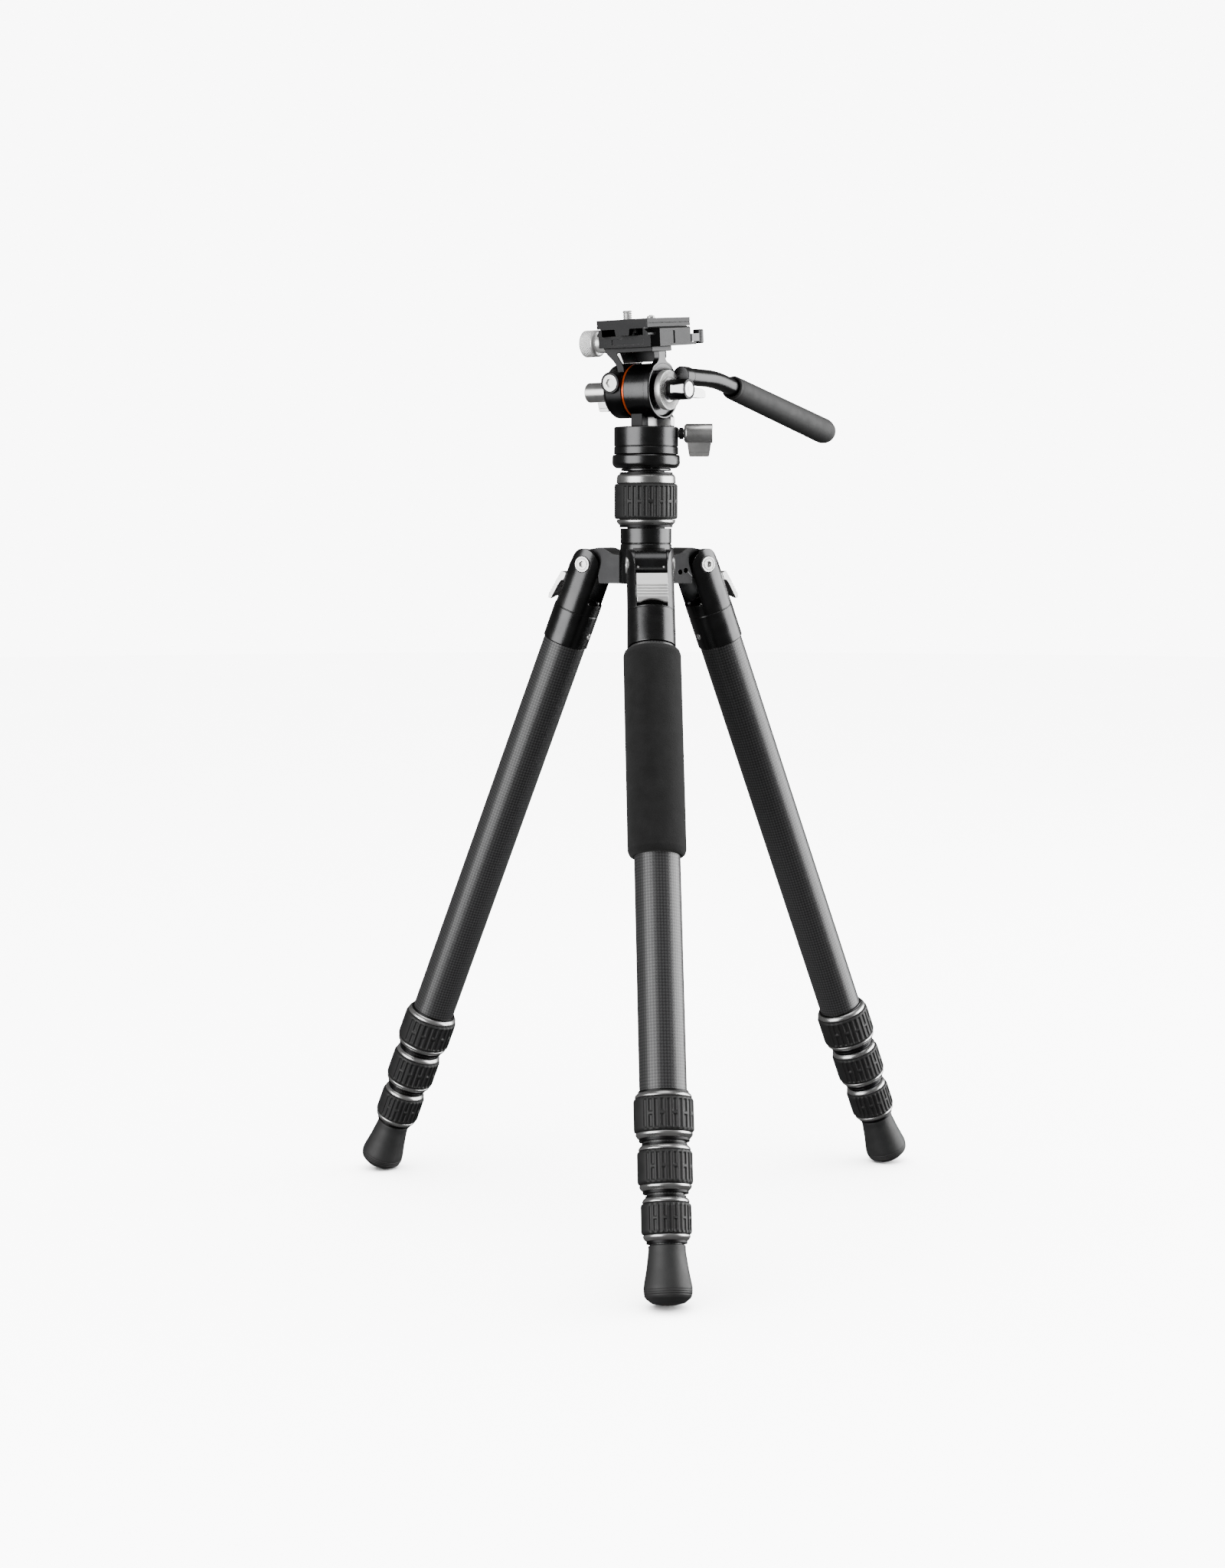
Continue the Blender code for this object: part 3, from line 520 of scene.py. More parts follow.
def foam_material():
    """Closed-cell foam: small shallow pits and a dry, matt skin."""
    made = new_material("foam_skin", (0.006, 0.006, 0.006), 0.95)
    shader = made.node_tree.nodes["Principled BSDF"]
    shader.inputs["Specular IOR Level"].default_value = 0.2
    shader.inputs["Sheen Weight"].default_value = 0.08
    shader.inputs["Sheen Roughness"].default_value = 0.6
    tree = made.node_tree
    pits = node(tree, "TexVoronoi", {"Vector": object_coordinates(tree), "Scale": 1500.0}).outputs[0]
    clouds = noise(tree, 120.0, 5.0)
    tone = two_colours(tree, between(tree, clouds, 0.3, 0.7), (0.006, 0.006, 0.006), (0.011, 0.011, 0.0112))
    # The pits are painted darker than the skin round them: painted shade in the pits.
    link(tree, two_colours(tree, between(tree, pits, 0.0, 0.35, 0.6, 0.0), tone, (0.003, 0.003, 0.003)),
         "Base Color")
    uneven = maths(tree, "ADD", maths(tree, "MULTIPLY", clouds, 2.0), pits)
    link(tree, bumped(tree, uneven, 0.16, 0.7), "Normal")
    return made


def grey(level, blue):
    """A neutral tone whose blue differs a little from its red and green."""
    return (level, level, blue)


# Finish, material and slot, then dark tone, light tone, roughness, rubbed tone, grain, metallic and lathe.
METALS = (
    ("black", "black_anodised", "black_metal",
     grey(0.05, 0.051), grey(0.063, 0.064), 0.24, grey(0.2, 0.203)),
    ("black_satin", "black_blasted", "black_metal",
     grey(0.015, 0.0154), grey(0.02, 0.0204), 0.36, grey(0.12, 0.122)),
    ("black_carrier", "black_carrier", "black_metal",
     grey(0.017, 0.0175), grey(0.024, 0.0245), 0.3, grey(0.12, 0.122)),
    ("black_gloss", "black_lacquer", "black_metal",
     grey(0.035, 0.036), grey(0.045, 0.046), 0.26, grey(0.12, 0.122)),
    ("silver", "silver_satin", "silver_metal",
     grey(0.70, 0.693), grey(0.80, 0.793), 0.32, grey(0.9, 0.89), 0.006, 0.7, True),
    ("knob_silver", "knob_silver", "silver_metal",
     grey(0.5, 0.495), grey(0.6, 0.593), 0.26, grey(0.85, 0.84), 0.006, 0.94, True),
    ("titanium", "titanium_ring", "silver_metal",
     grey(0.38, 0.377), grey(0.46, 0.456), 0.25, grey(0.7, 0.69), 0.005, 0.92, True),
    ("steel", "bright_steel", "steel",
     grey(0.6, 0.595), grey(0.7, 0.69), 0.26, grey(0.9, 0.88), 0.006, 0.7, True),
    ("orange", "orange_anodised", "orange_metal",
     (0.55, 0.06, 0.004), (0.68, 0.09, 0.008), 0.3, (0.9, 0.3, 0.1), 0.006, 0.6),
)
# Finish, material and slot, then dark tone, light tone and roughness.
RUBBERS = (
    ("lock_rubber", "ribbed_rubber", "lock_rubber", grey(0.009, 0.0092), grey(0.013, 0.0133), 0.55),
    ("foot_rubber", "smooth_rubber", "foot_rubber", grey(0.018, 0.0183), grey(0.024, 0.0243), 0.55),
    ("grip_rubber", "grip_rubber", "foot_rubber", grey(0.021, 0.0213), grey(0.027, 0.0273), 0.68),
    ("pad_rubber", "pad_rubber", "lock_rubber", grey(0.012, 0.012), grey(0.018, 0.018), 0.8),
)

FINISHES = {finish: (metal(name, *look), slot) for finish, name, slot, *look in METALS}
FINISHES.update({finish: (rubber(name, *look), slot) for finish, name, slot, *look in RUBBERS})
FINISHES["foam"] = (foam_material(), "foam")
for tube_radius in (*TUBE_RADII[:2], COLUMN_RADIUS, *TUBE_RADII[2:]):
    weave = f"carbon_{tube_radius}"
    FINISHES[weave] = (carbon(weave, tube_radius), "carbon")


# ---- pieces that repeat ----


def smooth(value):
    value = min(1.0, max(0.0, value))
    return value * value * (3 - 2 * value)


def window(value, low, high, soft):
    """1 between two values, falling to 0 over a soft edge outside them."""
    return smooth((value - low) / soft + 1) * smooth((high - value) / soft + 1)


def ribs(count, low, high, depth, panel):
    """Upright grooves between ribs, every second one bridged, with a smooth panel at one angle."""
    first = round(panel * count / FULL_TURN) - 1

    def ripple(angle, _radius, height):
        phase = angle * count / FULL_TURN
        index = int(phase)
        if (index - first) % count < 3:
            return 0.0
        across = window(phase - index, 0.3, 0.7, 0.2)
        share = (height - low) / (high - low)
        along = window(share, 0.1, 0.9, 0.035)
        if index % 2:
            along *= 1 - window(share, 0.47, 0.53, 0.035)
        return -depth * across * along

    return ripple


def knurl(count, low, high, depth, pitch):
    """Two families of slanting grooves that leave a field of small diamonds."""

    def ripple(angle, _radius, height):
        if not low < height < high:
            return 0.0
        around = angle * count / FULL_TURN
        along = height / pitch
        grooves = [abs(math.sin(math.pi * way)) for way in (around + along, around - along)]
        return -depth * (1 - min(1.0, 1.7 * min(grooves)))

    return ripple


def thread(depth, pitch):
    """A groove of that depth wound round a rod."""
    return lambda angle, _radius, height: depth * (
        abs((height / pitch + angle / FULL_TURN) % 1 - 0.5) * 2 - 1
    )


def levels(high, low, step):
    """Heights from high to low, about a step apart."""
    count = max(1, round((high - low) / step))
    return [high + (low - high) * i / count for i in range(count + 1)]


def grip_sleeve(name, top, end, radius, bore, where, rib_pitch=3.4, shoulder=1.3):
    """A ribbed rubber sleeve between two stations down the frame's axis."""
    count = 6 * round(2 * math.pi * radius / rib_pitch / 6)
    outer = [(radius - shoulder, -top), (radius - shoulder * 0.35, -top - 0.5), (radius, -top - 1.5)]
    outer += [(radius, height) for height in levels(-top - 2.2, -end + 2.2, 0.55)]
    outer += [(radius, -end + 1.5), (radius - shoulder * 0.35, -end + 0.5), (radius - shoulder, -end)]
    profile = outer + [(bore, -end), (bore, -top)]
    side = where.to_3x3().inverted() @ PANEL_SIDE
    ripple = ribs(count, -end, -top, 0.75, math.atan2(side.y, side.x))
    return turned(name, profile, where, sides=count * 8, ripple=ripple)


def ring(name, profile, where, axis="z", ease=0.35, sides=96):
    """A turned ring with its corners rounded."""
    return turned(name, eased(profile, ease, True), where, axis, sides)


def solid(name, profile, where, axis="z", ease=0.35, sides=96):
    """A turned solid with its corners rounded."""
    return turned(name, eased(profile, ease), where, axis, sides)


def hexagon_cutter(radius, low, high, where, axis="z"):
    return prism("hexagon", polygon(6, radius), low, high, where @ ALONG[axis], "xy")


def wing(name, start, end, depth, half, where):
    """A flat thumb wing below a knob's barrel, with a groove across it near its tip."""
    outline = [(start, -1.5), (start + 0.3, -3.5), (start + 1.9, -depth), (end - 1.9, -depth)]
    outline += [(end - 0.3, -3.5), (end, -1.5)]
    made = prism(name, eased(outline, 1.1, True), -half, half, where)
    for side in (-1, 1):
        faces = sorted((side * (half - 0.3), side * (half + 1)))
        groove = rectangle((start - 2, 2.1 - depth), (end + 2, 2.5 - depth))
        cut(made, prism("wing_groove", groove, *faces, where))
    return soften(made, 0.35)


# ---- legs ----


def leg_casting(leg, where):
    radius, fork_half = 14.8, 10.0
    profile = [(0, 11), (radius, 11), (radius, -31.2), (radius - 0.45, -31.6), (radius, -32),
               (radius, -54), (12.4, -54), (12.4, -75), (0, -75)]
    casting = solid(f"{leg}_casting", profile, where, ease=0.3)
    side_view = [(radius + 1, -85), (radius + 1, -22)] + arc((0, 0), 10, 0, 180, 40)
    side_view += [(-radius - 1, -22), (-radius - 1, -85)]
    common(casting, prism("side_view", side_view, -20, 20, where))
    gap = rectangle((-22, -24), (22, 22), 2)
    pocket = rectangle((7.5, -31.2), (20, -22), 1.2)
    cut(
        casting,
        prism("fork_gap", gap, -fork_half, fork_half, where),
        prism("tab_pocket", pocket, -9.7, 9.7, where),
        rod("pin_bore", 3.8, -20, 20, where, "y"),
        rod("pin_seat_right", 5.5, 12.4, 20, where, "y"),
        rod("pin_seat_left", 5.5, -20, -12.4, where, "y"),
    )
    # Its large flat faces take the darker black_carrier finish: painted shade.
    place(soften(casting, 0.3), f"{leg}_leg", "black", f"{leg}_leg_casting", shade_on_flats="black_carrier")


def hinge_pin(leg, where):
    """A shoulder bolt with a raised rim, a ring groove and a hexagon socket at each end."""
    half = [(0, 15.2), (3.3, 15.2), (3.6, 14.8), (3.9, 14.8), (4.1, 15.1), (4.9, 15.1), (5.1, 14.8),
            (5.1, 13), (3.5, 13)]
    profile = half + [(radius, -height) for radius, height in reversed(half)]
    pin = turned(f"{leg}_pin", profile, where, "y", 64)
    cut(
        pin,
        hexagon_cutter(2.15, 13.4, 16, where, "y"),
        hexagon_cutter(2.15, -16, -13.4, where, "y"),
    )
    place(pin, f"{leg}_leg", "steel", f"{leg}_hinge_pin")


def angle_tab(leg, where):
    """The sprung stop: a plate with finger ridges and a scooped lower edge."""
    face = [(15, -10.8)]
    start, end = Vector((16.5, -18.2)), Vector((18, -26.4))
    ridges = 4
    for index in range(ridges):
        for share, inset in ((0, 0), (0.5, 0), (0.62, -0.55), (0.88, -0.55)):
            point = start.lerp(end, (index + share) / ridges)
            face.append((point.x + inset, point.y))
    outline = [(11.4, -10.8), (11.4, -15.5), (13, -16.5), (14, -20), (15.6, -30.4), (17.6, -30.4),
               (18.2, -27.2)] + face[::-1]
    tab = prism(f"{leg}_tab", outline, -9.6, 9.6, where)
    cut(tab, rod("thumb_scoop", 15.5, 8, 24, at(where, z=-43.9), "x", 96))
    place(soften(tab, 0.2, 2), f"{leg}_tab", "silver", f"{leg}_angle_tab")


def leg_tube(leg, where, index):
    node_name = f"{leg}_leg_tube_{index}"
    low, high = span(node_name, where)
    radius, wall = high[0], 1.2
    profile = [(radius, high[2]), (radius, low[2]), (radius - wall, low[2]), (radius - wall, high[2])]
    body = f"{leg}_leg" if index == 1 else f"{leg}_section_{index}"
    tube = ring(f"{leg}_tube_{index}", profile, where, ease=0.3)
    place(tube, body, f"carbon_{round(radius * 2) / 2}", node_name)


def twist_lock(name, body, where, top, end, radius, bores, node_name, rings):
    """A ribbed sleeve between an upper and a lower metal ring, on a black collar."""
    upper_bore, lower_bore = bores
    upper_end, lower_start, crown = rings
    middle = (top + end) / 2
    collar = down([(crown - 2, top + 0.1), (crown - 2, end - 0.1), (lower_bore, end - 0.1),
                   (lower_bore, middle), (upper_bore, middle), (upper_bore, top + 0.1)])
    place(ring(f"{name}_collar", collar, where), body, "black_satin", node_name)
    upper = down([(crown - 1.6, top + 1.3), (crown - 0.3, top + 2.6), (crown, upper_end),
                  (crown - 1.8, upper_end), (crown - 1.9, top + 1.3)])
    place(ring(f"{name}_upper_ring", upper, where, ease=0.9), body, "titanium")
    lower = down([(crown - 0.1, lower_start), (crown - 0.2, end - 3.3), (crown - 1.8, end - 1.7),
                  (crown - 1.95, end - 1.7), (crown - 1.8, lower_start)])
    place(ring(f"{name}_lower_ring", lower, where, ease=1.1), body, "titanium")
    sleeve = grip_sleeve(f"{name}_sleeve", upper_end + 0.15, lower_start - 0.15, radius, crown - 1.9, where)
    place(sleeve, body, "lock_rubber")


def leg_lock(leg, where, index):
    node_name = f"{leg}_twist_lock_{index}"
    top, end, radius = stations(node_name, where)
    bores = (TUBE_RADII[index - 1] + 0.4, TUBE_RADII[index] + 0.4)
    rings = (top + 4.3, end - 5.1, radius - 0.8)
    name = f"{leg}_lock_{index}"
    twist_lock(name, name, where, top, end, radius, bores, node_name, rings)


def foot(leg, where):
    """A flared rubber foot with fine grooves near its sole."""
    side = [(10, 417), (10.8, 417.3), (10.9, 421), (12.3, 431), (14, 440)]
    for station in (442.2, 443.6, 445):
        wide = 14.2 - 0.11 * max(0, station - 443) ** 1.5
        side += [(wide, station - 0.25), (wide - 0.28, station), (wide, station + 0.25)]
    sole = [(13.1, 447), (9.5, 449.8), (4.5, 450.8), (0, 450.8)]
    socket = [(0, 433), (9.8, 433), (9.8, 417)]
    outline = eased(side + sole, 0.8) + socket
    made = squared(turned(f"{leg}_rubber_foot", down(outline), where))
    place(made, f"{leg}_section_4", "foot_rubber", f"{leg}_foot")


def foam_grip(where):
    top, end, radius = stations("foam_grip", where)
    top -= FOAM_RISE
    shoulder = [(14.3, top), (15.4, top), (16.9, top + 0.9), (radius, top + 3.6)]
    side = [(radius, station) for station in levels(top + 6, end - 6, 4)]
    lower = [(radius, end - 3.6), (16.9, end - 0.9), (15.4, end), (14.3, end)]
    profile = down(eased(shoulder + side + lower, 0.8))

    def ripple(angle, reach, height):
        if reach < 15:
            return 0.0
        return 0.07 * math.sin(2 * angle + height / 17) + 0.05 * math.sin(3 * angle - height / 9)

    made = turned("foam_sleeve", profile, where, ripple=ripple)
    place(made, "front_leg", "foam", "foam_grip")


def small_screw(name, radius, where, body, socket=0.5):
    """A low screw head on the frame's X axis, with a hexagon socket."""
    head = solid(name, [(0, 0.9), (radius, 0.9), (radius, -1.5), (0, -1.5)], where, "x", 0.3, 40)
    if socket:
        cut(head, hexagon_cutter(radius * socket, 0.3, 2, where, "x"))
    place(head, body, "steel")


def build_leg(leg):
    where = leg_frame(leg)
    leg_casting(leg, where)
    hinge_pin(leg, where)
    angle_tab(leg, where)
    for index in (1, 2, 3, 4):
        leg_tube(leg, where, index)
    for index in (1, 2, 3):
        leg_lock(leg, where, index)
    foot(leg, where)
    inward = where @ Matrix.Rotation(math.pi, 4, "Z")
    small_screw(f"{leg}_sleeve_screw", 2, at(inward, 14.5, 0, -45), f"{leg}_leg")
    for side, name in SIDES:
        upright = at(where, -9.5, side * 7, -24.2) @ Matrix.Rotation(math.radians(-90), 4, "Y")
        small_screw(f"{leg}_slot_stud_{name}", 0.9, upright, f"{leg}_leg", socket=0)


# ---- hub and column ----


def hub_arm(leg):
    """The lug between one fork's cheeks: humped on top and round about the pin."""
    out = leg_frame(leg).col[0].to_3d()
    where = level_frame(COLUMN.translation, out)
    pin = COLUMN.inverted() @ Vector(JOINTS[f"{leg}_leg_spread"]["pos_m"]) / MM
    pin_x, pin_z = math.hypot(pin.x, pin.y), pin.z
    lower = eased([(13.6, 408), (29, 408), (29.4, 413.1), (34.5, 413.3)], 1)
    upper = [(38.9, 429.5), (33, 430.2), (28, 431.2), (23, 429.2), (19.5, 426.6), (13.6, 426)]
    upper = eased(upper, 3)
    outline = lower[:-1] + arc((pin_x, pin_z), 9.3, -115, 85, 32) + upper[1:]
    arm = prism(f"{leg}_arm", outline, -9.7, 9.7, where)
    cut(
        arm,
        rod("pin_hole", 3.8, -20, 20, at(where, pin_x, 0, pin_z), "y"),
        rod("outer_hole", 1.7, -12, -6.5, at(where, 24.2, 0, 416.2), "y"),
        rod("inner_hole", 1.7, -12, -6.5, at(where, 19.9, 0, 415.2), "y"),
    )
    return arm


def hub():
    core = [(16.3, 443.1), (16.3, 433.9), (15.85, 433.5), (15.85, 433.3), (16.3, 432.9), (16.6, 429.5),
            (17.3, 425.5), (17.3, 408), (12.5, 408), (12.5, 443.1)]
    body = ring("hub_casting", core, COLUMN, ease=0.4)
    join(body, *[hub_arm(leg) for leg in LEGS])
    cut(body, rod("column_bore", 12.5, 400, 450, COLUMN, sides=96))
    # Its large flat faces take the darker black_carrier finish: painted shade.
    place(soften(body, 0.35), "hub", "black", "leg_hub", shade_on_flats="black_carrier")
    for leg in LEGS:
        where = leg_frame(leg)
        for side, name in SIDES:
            tilted = where @ Matrix.Rotation(math.radians(28), 4, "Y")
            small_screw(f"{leg}_arm_pin_{name}", 0.75, at(tilted, 8.9, side * 8.1, 0), "hub", socket=0)


def column():
    low, high = span("column_tube", COLUMN)
    radius = high[0]
    profile = [(radius, high[2]), (radius, low[2]), (radius - 1.4, low[2]), (radius - 1.4, high[2])]
    place(ring("column", profile, COLUMN), "column", f"carbon_{COLUMN_RADIUS}", "column_tube")
    top, end, radius = stations("column_lock", COLUMN)
    rings = (top + 7.2, end - 5.2, radius - 1.3)
    twist_lock("column_lock", "column_lock", COLUMN, top, end, radius, (12.6, 12.6), "column_lock", rings)
    top_disc = [(0, 489), (4.7, 489), (4.7, 480.7), (15.9, 480.7), (15.9, 479.4), (10.3, 479.4),
                (10.3, 466), (0, 466)]
    place(solid("column_disc", top_disc, COLUMN, ease=0.25), "column", "black", "column_top")


def hook():
    """The plug in the column's foot with an open hook for a weight."""
    profile = [(0, 262), (10.3, 262), (10.3, 249.7), (12, 249.7), (11.2, 246), (5, 245), (4, 242),
               (0, 242)]
    place(solid("hook_plug", profile, COLUMN, ease=0.5), "column", "silver", "weight_hook")
    bend = [(x, 0, z) for x, z in arc((0, 235), 6, 90, -165, 40)]
    place(bar("hook_bend", [(0, 0, 244)] + bend, 1.6, COLUMN), "column", "silver")


# ---- head: pan ----


def pan():
    base = [(20.7, 489.5), (21.5, 488.6), (21.6, 484.2), (21.2, 482.9), (19.4, 481.1), (5.2, 481.1),
            (5.2, 489.5)]
    place(ring("pan_disc", base, COLUMN, ease=0.5, sides=128), "column", "black", "pan_base")
    housing = [(0, 507), (19.9, 507), (20.4, 506.5), (20.4, 495), (19.9, 494.7), (19.9, 494.5),
               (20.4, 494.2), (20.5, 489.9), (0, 489.9)]
    body = solid("pan_drum", housing, COLUMN, sides=128)
    cut(body, rod("knob_bore", 3.5, 12, 24, PAN_KNOB, "x"))
    place(body, "pan", "black", "pan_housing")
    stem, barrel, blade = (13, 21, 3.7), (24, 42.2, 6.1), (25.4, 42, 14.6)
    wing_knob("pan_knob", PAN_KNOB, stem, barrel, blade, "pan_lock_knob")


def wing_knob(name, where, stem, barrel, blade, node_name):
    """A barrel with a flat wing, turned along the frame's X, on a threaded stem."""
    stem_in, stem_out, stem_radius = stem
    start, end, radius = barrel
    profile = [(0, end), (radius, end), (radius, start + 1.3), (radius - 1.5, start), (0, start)]
    knob = solid(f"{name}_barrel", profile, where, "x", 0.55)
    dish = [(0, end + 1), (radius - 1.4, end + 1), (radius - 1.7, end - 0.35), (0, end - 0.35)]
    cut(knob, turned("dish", dish, where, "x"))
    blade_in, blade_out, depth = blade
    join(knob, wing("blade", blade_in, blade_out, depth, 1.7, where))
    place(knob, name, "knob_silver", node_name)
    top = start + 0.5
    screw = [(0, top)] + [(3, height) for height in levels(top, stem_in, 0.25)] + [(0, stem_in)]
    place(turned(f"{name}_stem", screw, where, "x", 48, thread(0.28, 1)), name, "steel")
    collar = [(stem_radius, stem_out + 2.6), (stem_radius, stem_out), (2.9, stem_out), (2.9, stem_out + 2.6)]
    place(ring(f"{name}_collar", collar, where, "x", 0.3, 64), name, "black")


# ---- head: tilt ----


def drum():
    """The fixed drum on its front post and its back web."""
    profile = [(17, 8.9), (17, -6.3), (4.4, -6.3), (4.4, 8.9)]
    body = ring("drum", profile, HEAD, "x", 0.4, 128)
    floor = (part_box("tilt_drum")[0].z - HEAD.translation.z) / MM
    post = eased([(-6.2, floor), (2.6, floor), (2.4, -14), (2, -10), (-6.2, -10)], 0.8, True)
    web = eased([(-6.2, floor), (12.5, floor), (12.5, -16.8), (8.8, -12), (8.8, -7), (-6.2, -7)], 1.4, True)
    place(body, "pan", "black", "tilt_drum")
    place(soften(prism("front_post", post, -8.4, -1, HEAD), 0.5), "pan", "black_satin")
    # The back web takes the light titanium finish to stand for the soft box's reflection on black metal: a
    # painted reflection.
    place(soften(prism("back_web", web, 9.5, 14.5, HEAD), 0.5), "pan", "titanium")


def tilt_axle():
    profile = [(0, 24), (4, 24), (4, 23), (3.6, 22.8), (3.6, 22.2), (4, 22), (4, -19.5), (0, -19.5)]
    place(solid("axle", profile, HEAD, "x", 0.2, 64), "pan", "steel", "tilt_axle")


def accent_ring():
    profile = [(16.7, -6.6), (16.7, -8), (10, -8), (10, -6.6)]
    place(ring("orange_ring", profile, HEAD, "x", 0.3, 128), "pan", "orange", "accent_ring")


def carrier():
    """The left cheek with its screw ear, and the arm and bridge that hold the clamp."""
    profile = [(17, -8.3), (17, -20.4), (14.8, -23), (4.4, -23), (4.4, -8.3)]
    body = ring("cheek", profile, PLATFORM, "x", 0.7, 128)
    ear = at(PLATFORM, -15, 0, 6)
    ear_profile = [(0, -3), (6.8, -3), (6.8, -18.8), (0, -18.8)]
    outer = eased([(-22.4, 27.55), (-22.4, 24.8), (-15.6, 18.6), (-13.6, 14.5), (-13.6, 8)], 3)
    inner = eased([(-8.6, 8), (-8.6, 15.6), (-14.2, 24.2), (13.3, 24.2)], 2)
    arm = outer + inner + [(13.3, 27.55)]
    join(
        body,
        solid("ear", ear_profile, ear, "y", 0.5),
        soften(prism("arm", arm, -11.5, 11.5, PLATFORM), 0.8),
    )
    cut(
        body,
        rod("ear_seat", 5.8, -22, -16.9, ear, "y"),
        rod("ear_thread", 2.4, -18, -12, ear, "y"),
        rod("axle_bore", 4.4, -24, -8, PLATFORM, "x"),
        prism("arm_slot", rectangle((-30, 19.2), (-10, 22.6), 1.6), -4.5, 4.5, PLATFORM),
    )
    place(soften(body, 0.25, 2), "tilt", "black_carrier", "tilt_carrier")
    liner = [(-9.8, 17.5), (-13.9, 23.9), (-13.6, 24.4), (-11.4, 24.4), (-9.2, 18.6), (-8.7, 17.5)]
    liner = eased(liner, 0.4, True)
    place(soften(prism("arm_liner", liner, -11, 11, PLATFORM), 0.2), "tilt", "titanium")
    rib = eased([(-12.5, 24.4), (9.6, 24.4), (9.6, 20), (5, 17.9), (-8.6, 17.9)], 0.8, True)
    place(soften(prism("bridge_rib", rib, 4, 10.8, PLATFORM), 0.3), "tilt", "black_satin")
    screw_profile = [(0, -12.6), (2, -12.6), (2, -17.2), (5.4, -17.2), (5.4, -18.9), (0, -18.9)]
    screw = solid("ear_bolt", screw_profile, ear, "y", 0.35, 64)
    cut(screw, hexagon_cutter(2.9, -20, -17.6, ear, "y"))
    place(screw, "tilt", "steel", "ear_screw")


def flange():
    """The right cheek: a lipped dish, with a flared arm up to the bridge."""
    profile = [(4.4, 11), (15.4, 11), (16.2, 11.8), (16.6, 13.3), (17.6, 13.3), (18.2, 12.7),
               (18.2, 9.3), (4.4, 9.3)]
    body = ring("right_cheek", profile, PLATFORM, "x", 0.35, 128)
    half = eased([(4, 24.4), (3.6, 20.4), (5.2, 17.8), (11, 15.2), (12.5, 12.2)], 2)
    outline = half[::-1] + [(-y, z) for y, z in half]
    join(body, soften(prism("flange_arm", outline, 9.4, 13.2, PLATFORM, "yz"), 0.4))
    place(body, "tilt", "black", "tilt_flange")


def clamp():
    """The bed with its fixed jaw, and the sliding jaw."""
    floor, bed = 27.4, 34.6
    outline = [(-16.8, floor), (21.8, floor), (21.8, bed + 3.6), (21, bed + 4.4), (16.9, bed + 4.4),
               (16.9, bed + 4), (19.5, bed + 1.4), (19.5, bed), (-16.8, bed)]
    body = prism("clamp_bed", outline, -19, 21, PLATFORM)
    plan = [(-17.5, -20), (16.2, -20), (22.5, -14.2), (22.5, 22), (-17.5, 22)]
    common(body, prism("clamp_plan", plan, 20, 45, PLATFORM, "xy"))
    join(
        body,
        block("catch_shelf", (15.5, 20, floor + 0.1), (21.7, 28.2, floor + 1.8), PLATFORM, 1),
        rod("catch_pin", 1.5, floor + 0.8, bed - 0.3, at(PLATFORM, 18.6, 25)),
    )
    end_face = rectangle((-12, floor + 1.6), (12, bed - 1.8), 0.8)
    side_face = rectangle((-11.5, floor + 1.5), (2.5, bed + 2.2), 0.8)
    cut(
        body,
        rod("spindle_bore", 2.8, -18, -6, at(PLATFORM, z=31.0), "x"),
        block("bed_window", (-9, -9, floor - 1), (9, 9, bed + 1), PLATFORM, 2),
        prism("end_relief", end_face, -20, -18.4, PLATFORM),
        prism("side_relief", side_face, 21.2, 23, PLATFORM, "yz"),
    )
    place(soften(body, 0.3), "tilt", "black_satin", "clamp_body")
    low = floor + 0.3
    outline = [(-17.1, low), (-17.1, bed), (-19.5, bed), (-19.5, bed + 1.4), (-16.9, bed + 4),
               (-16.9, bed + 4.4), (-21.6, bed + 4.4), (-23.6, bed + 2.4), (-23.6, low)]
    jaw = prism("sliding_jaw", outline, -18, 20, PLATFORM)
    plan = [(-17, -20), (-17, 22), (-20.6, 22), (-24.5, 17.6), (-24.5, -15), (-20.6, -20)]
    common(jaw, prism("jaw_plan", plan, 20, 45, PLATFORM, "xy"))
    cut(jaw, rod("jaw_bore", 2.9, -26, -15, at(PLATFORM, z=31.0), "x"))
    place(soften(jaw, 0.3), "clamp_jaw", "black_satin", "clamp_jaw")


def clamp_knob():
    """A knurled thumb wheel on its threaded spindle, along the frame's -X."""
    where = at(PLATFORM, z=31.0)
    low, high = -43.9, -35.6
    profile = [(0, -33.6), (6.3, -33.6), (7.7, -34), (8.5, -34.9)]
    profile += [(8.5, height) for height in levels(high, low, 0.3)]
    profile += [(7.9, -44.5), (7, -44.9), (5.6, -44.9), (5.2, -44.4), (0, -44.4)]
    wheel = turned("clamp_wheel", profile, where, "x", 288, knurl(36, low, high, 0.5, 1.75))
    place(wheel, "clamp_knob", "silver", "clamp_knob")
    hub_profile = [(0, -27.2), (6.3, -27.2), (6.3, -33.5), (0, -33.5)]
    place(solid("clamp_wheel_hub", hub_profile, where, "x", 0.5), "clamp_knob", "silver")
    spindle = [(0, -7.5)] + [(2.2, height) for height in levels(-7.9, -27.1, 0.2)] + [(0, -27.1)]
    winding = thread(0.25, 0.8)
    place(turned("clamp_spindle", spindle, where, "x", 32, winding), "clamp_knob", "steel")


def safety_catch():
    """A small lever behind the fixed jaw that ends in a ribbed thumb roll."""
    where = at(PLATFORM, 18.6, 25, 29.5)
    lever = block("catch_lever", (-2.6, -2.4, 0), (2.8, 8, 4.8), where, 1.2)

    def ridged(angle, _radius, _height):
        return -0.22 * (0.5 + 0.5 * math.cos(18 * angle))

    roll = [(0, 7.4), (2.7, 7.4), (3.3, 6.8), (3.3, -1), (2.7, -1.6), (0, -1.6)]
    join(lever, turned("roll", eased(roll, 0.3), at(where, 0.6, 9.4), sides=144, ripple=ridged))
    cut(lever, rod("catch_bore", 1.9, -3, 9, where))
    place(soften(lever, 0.15, 2), "catch", "black", "safety_catch")


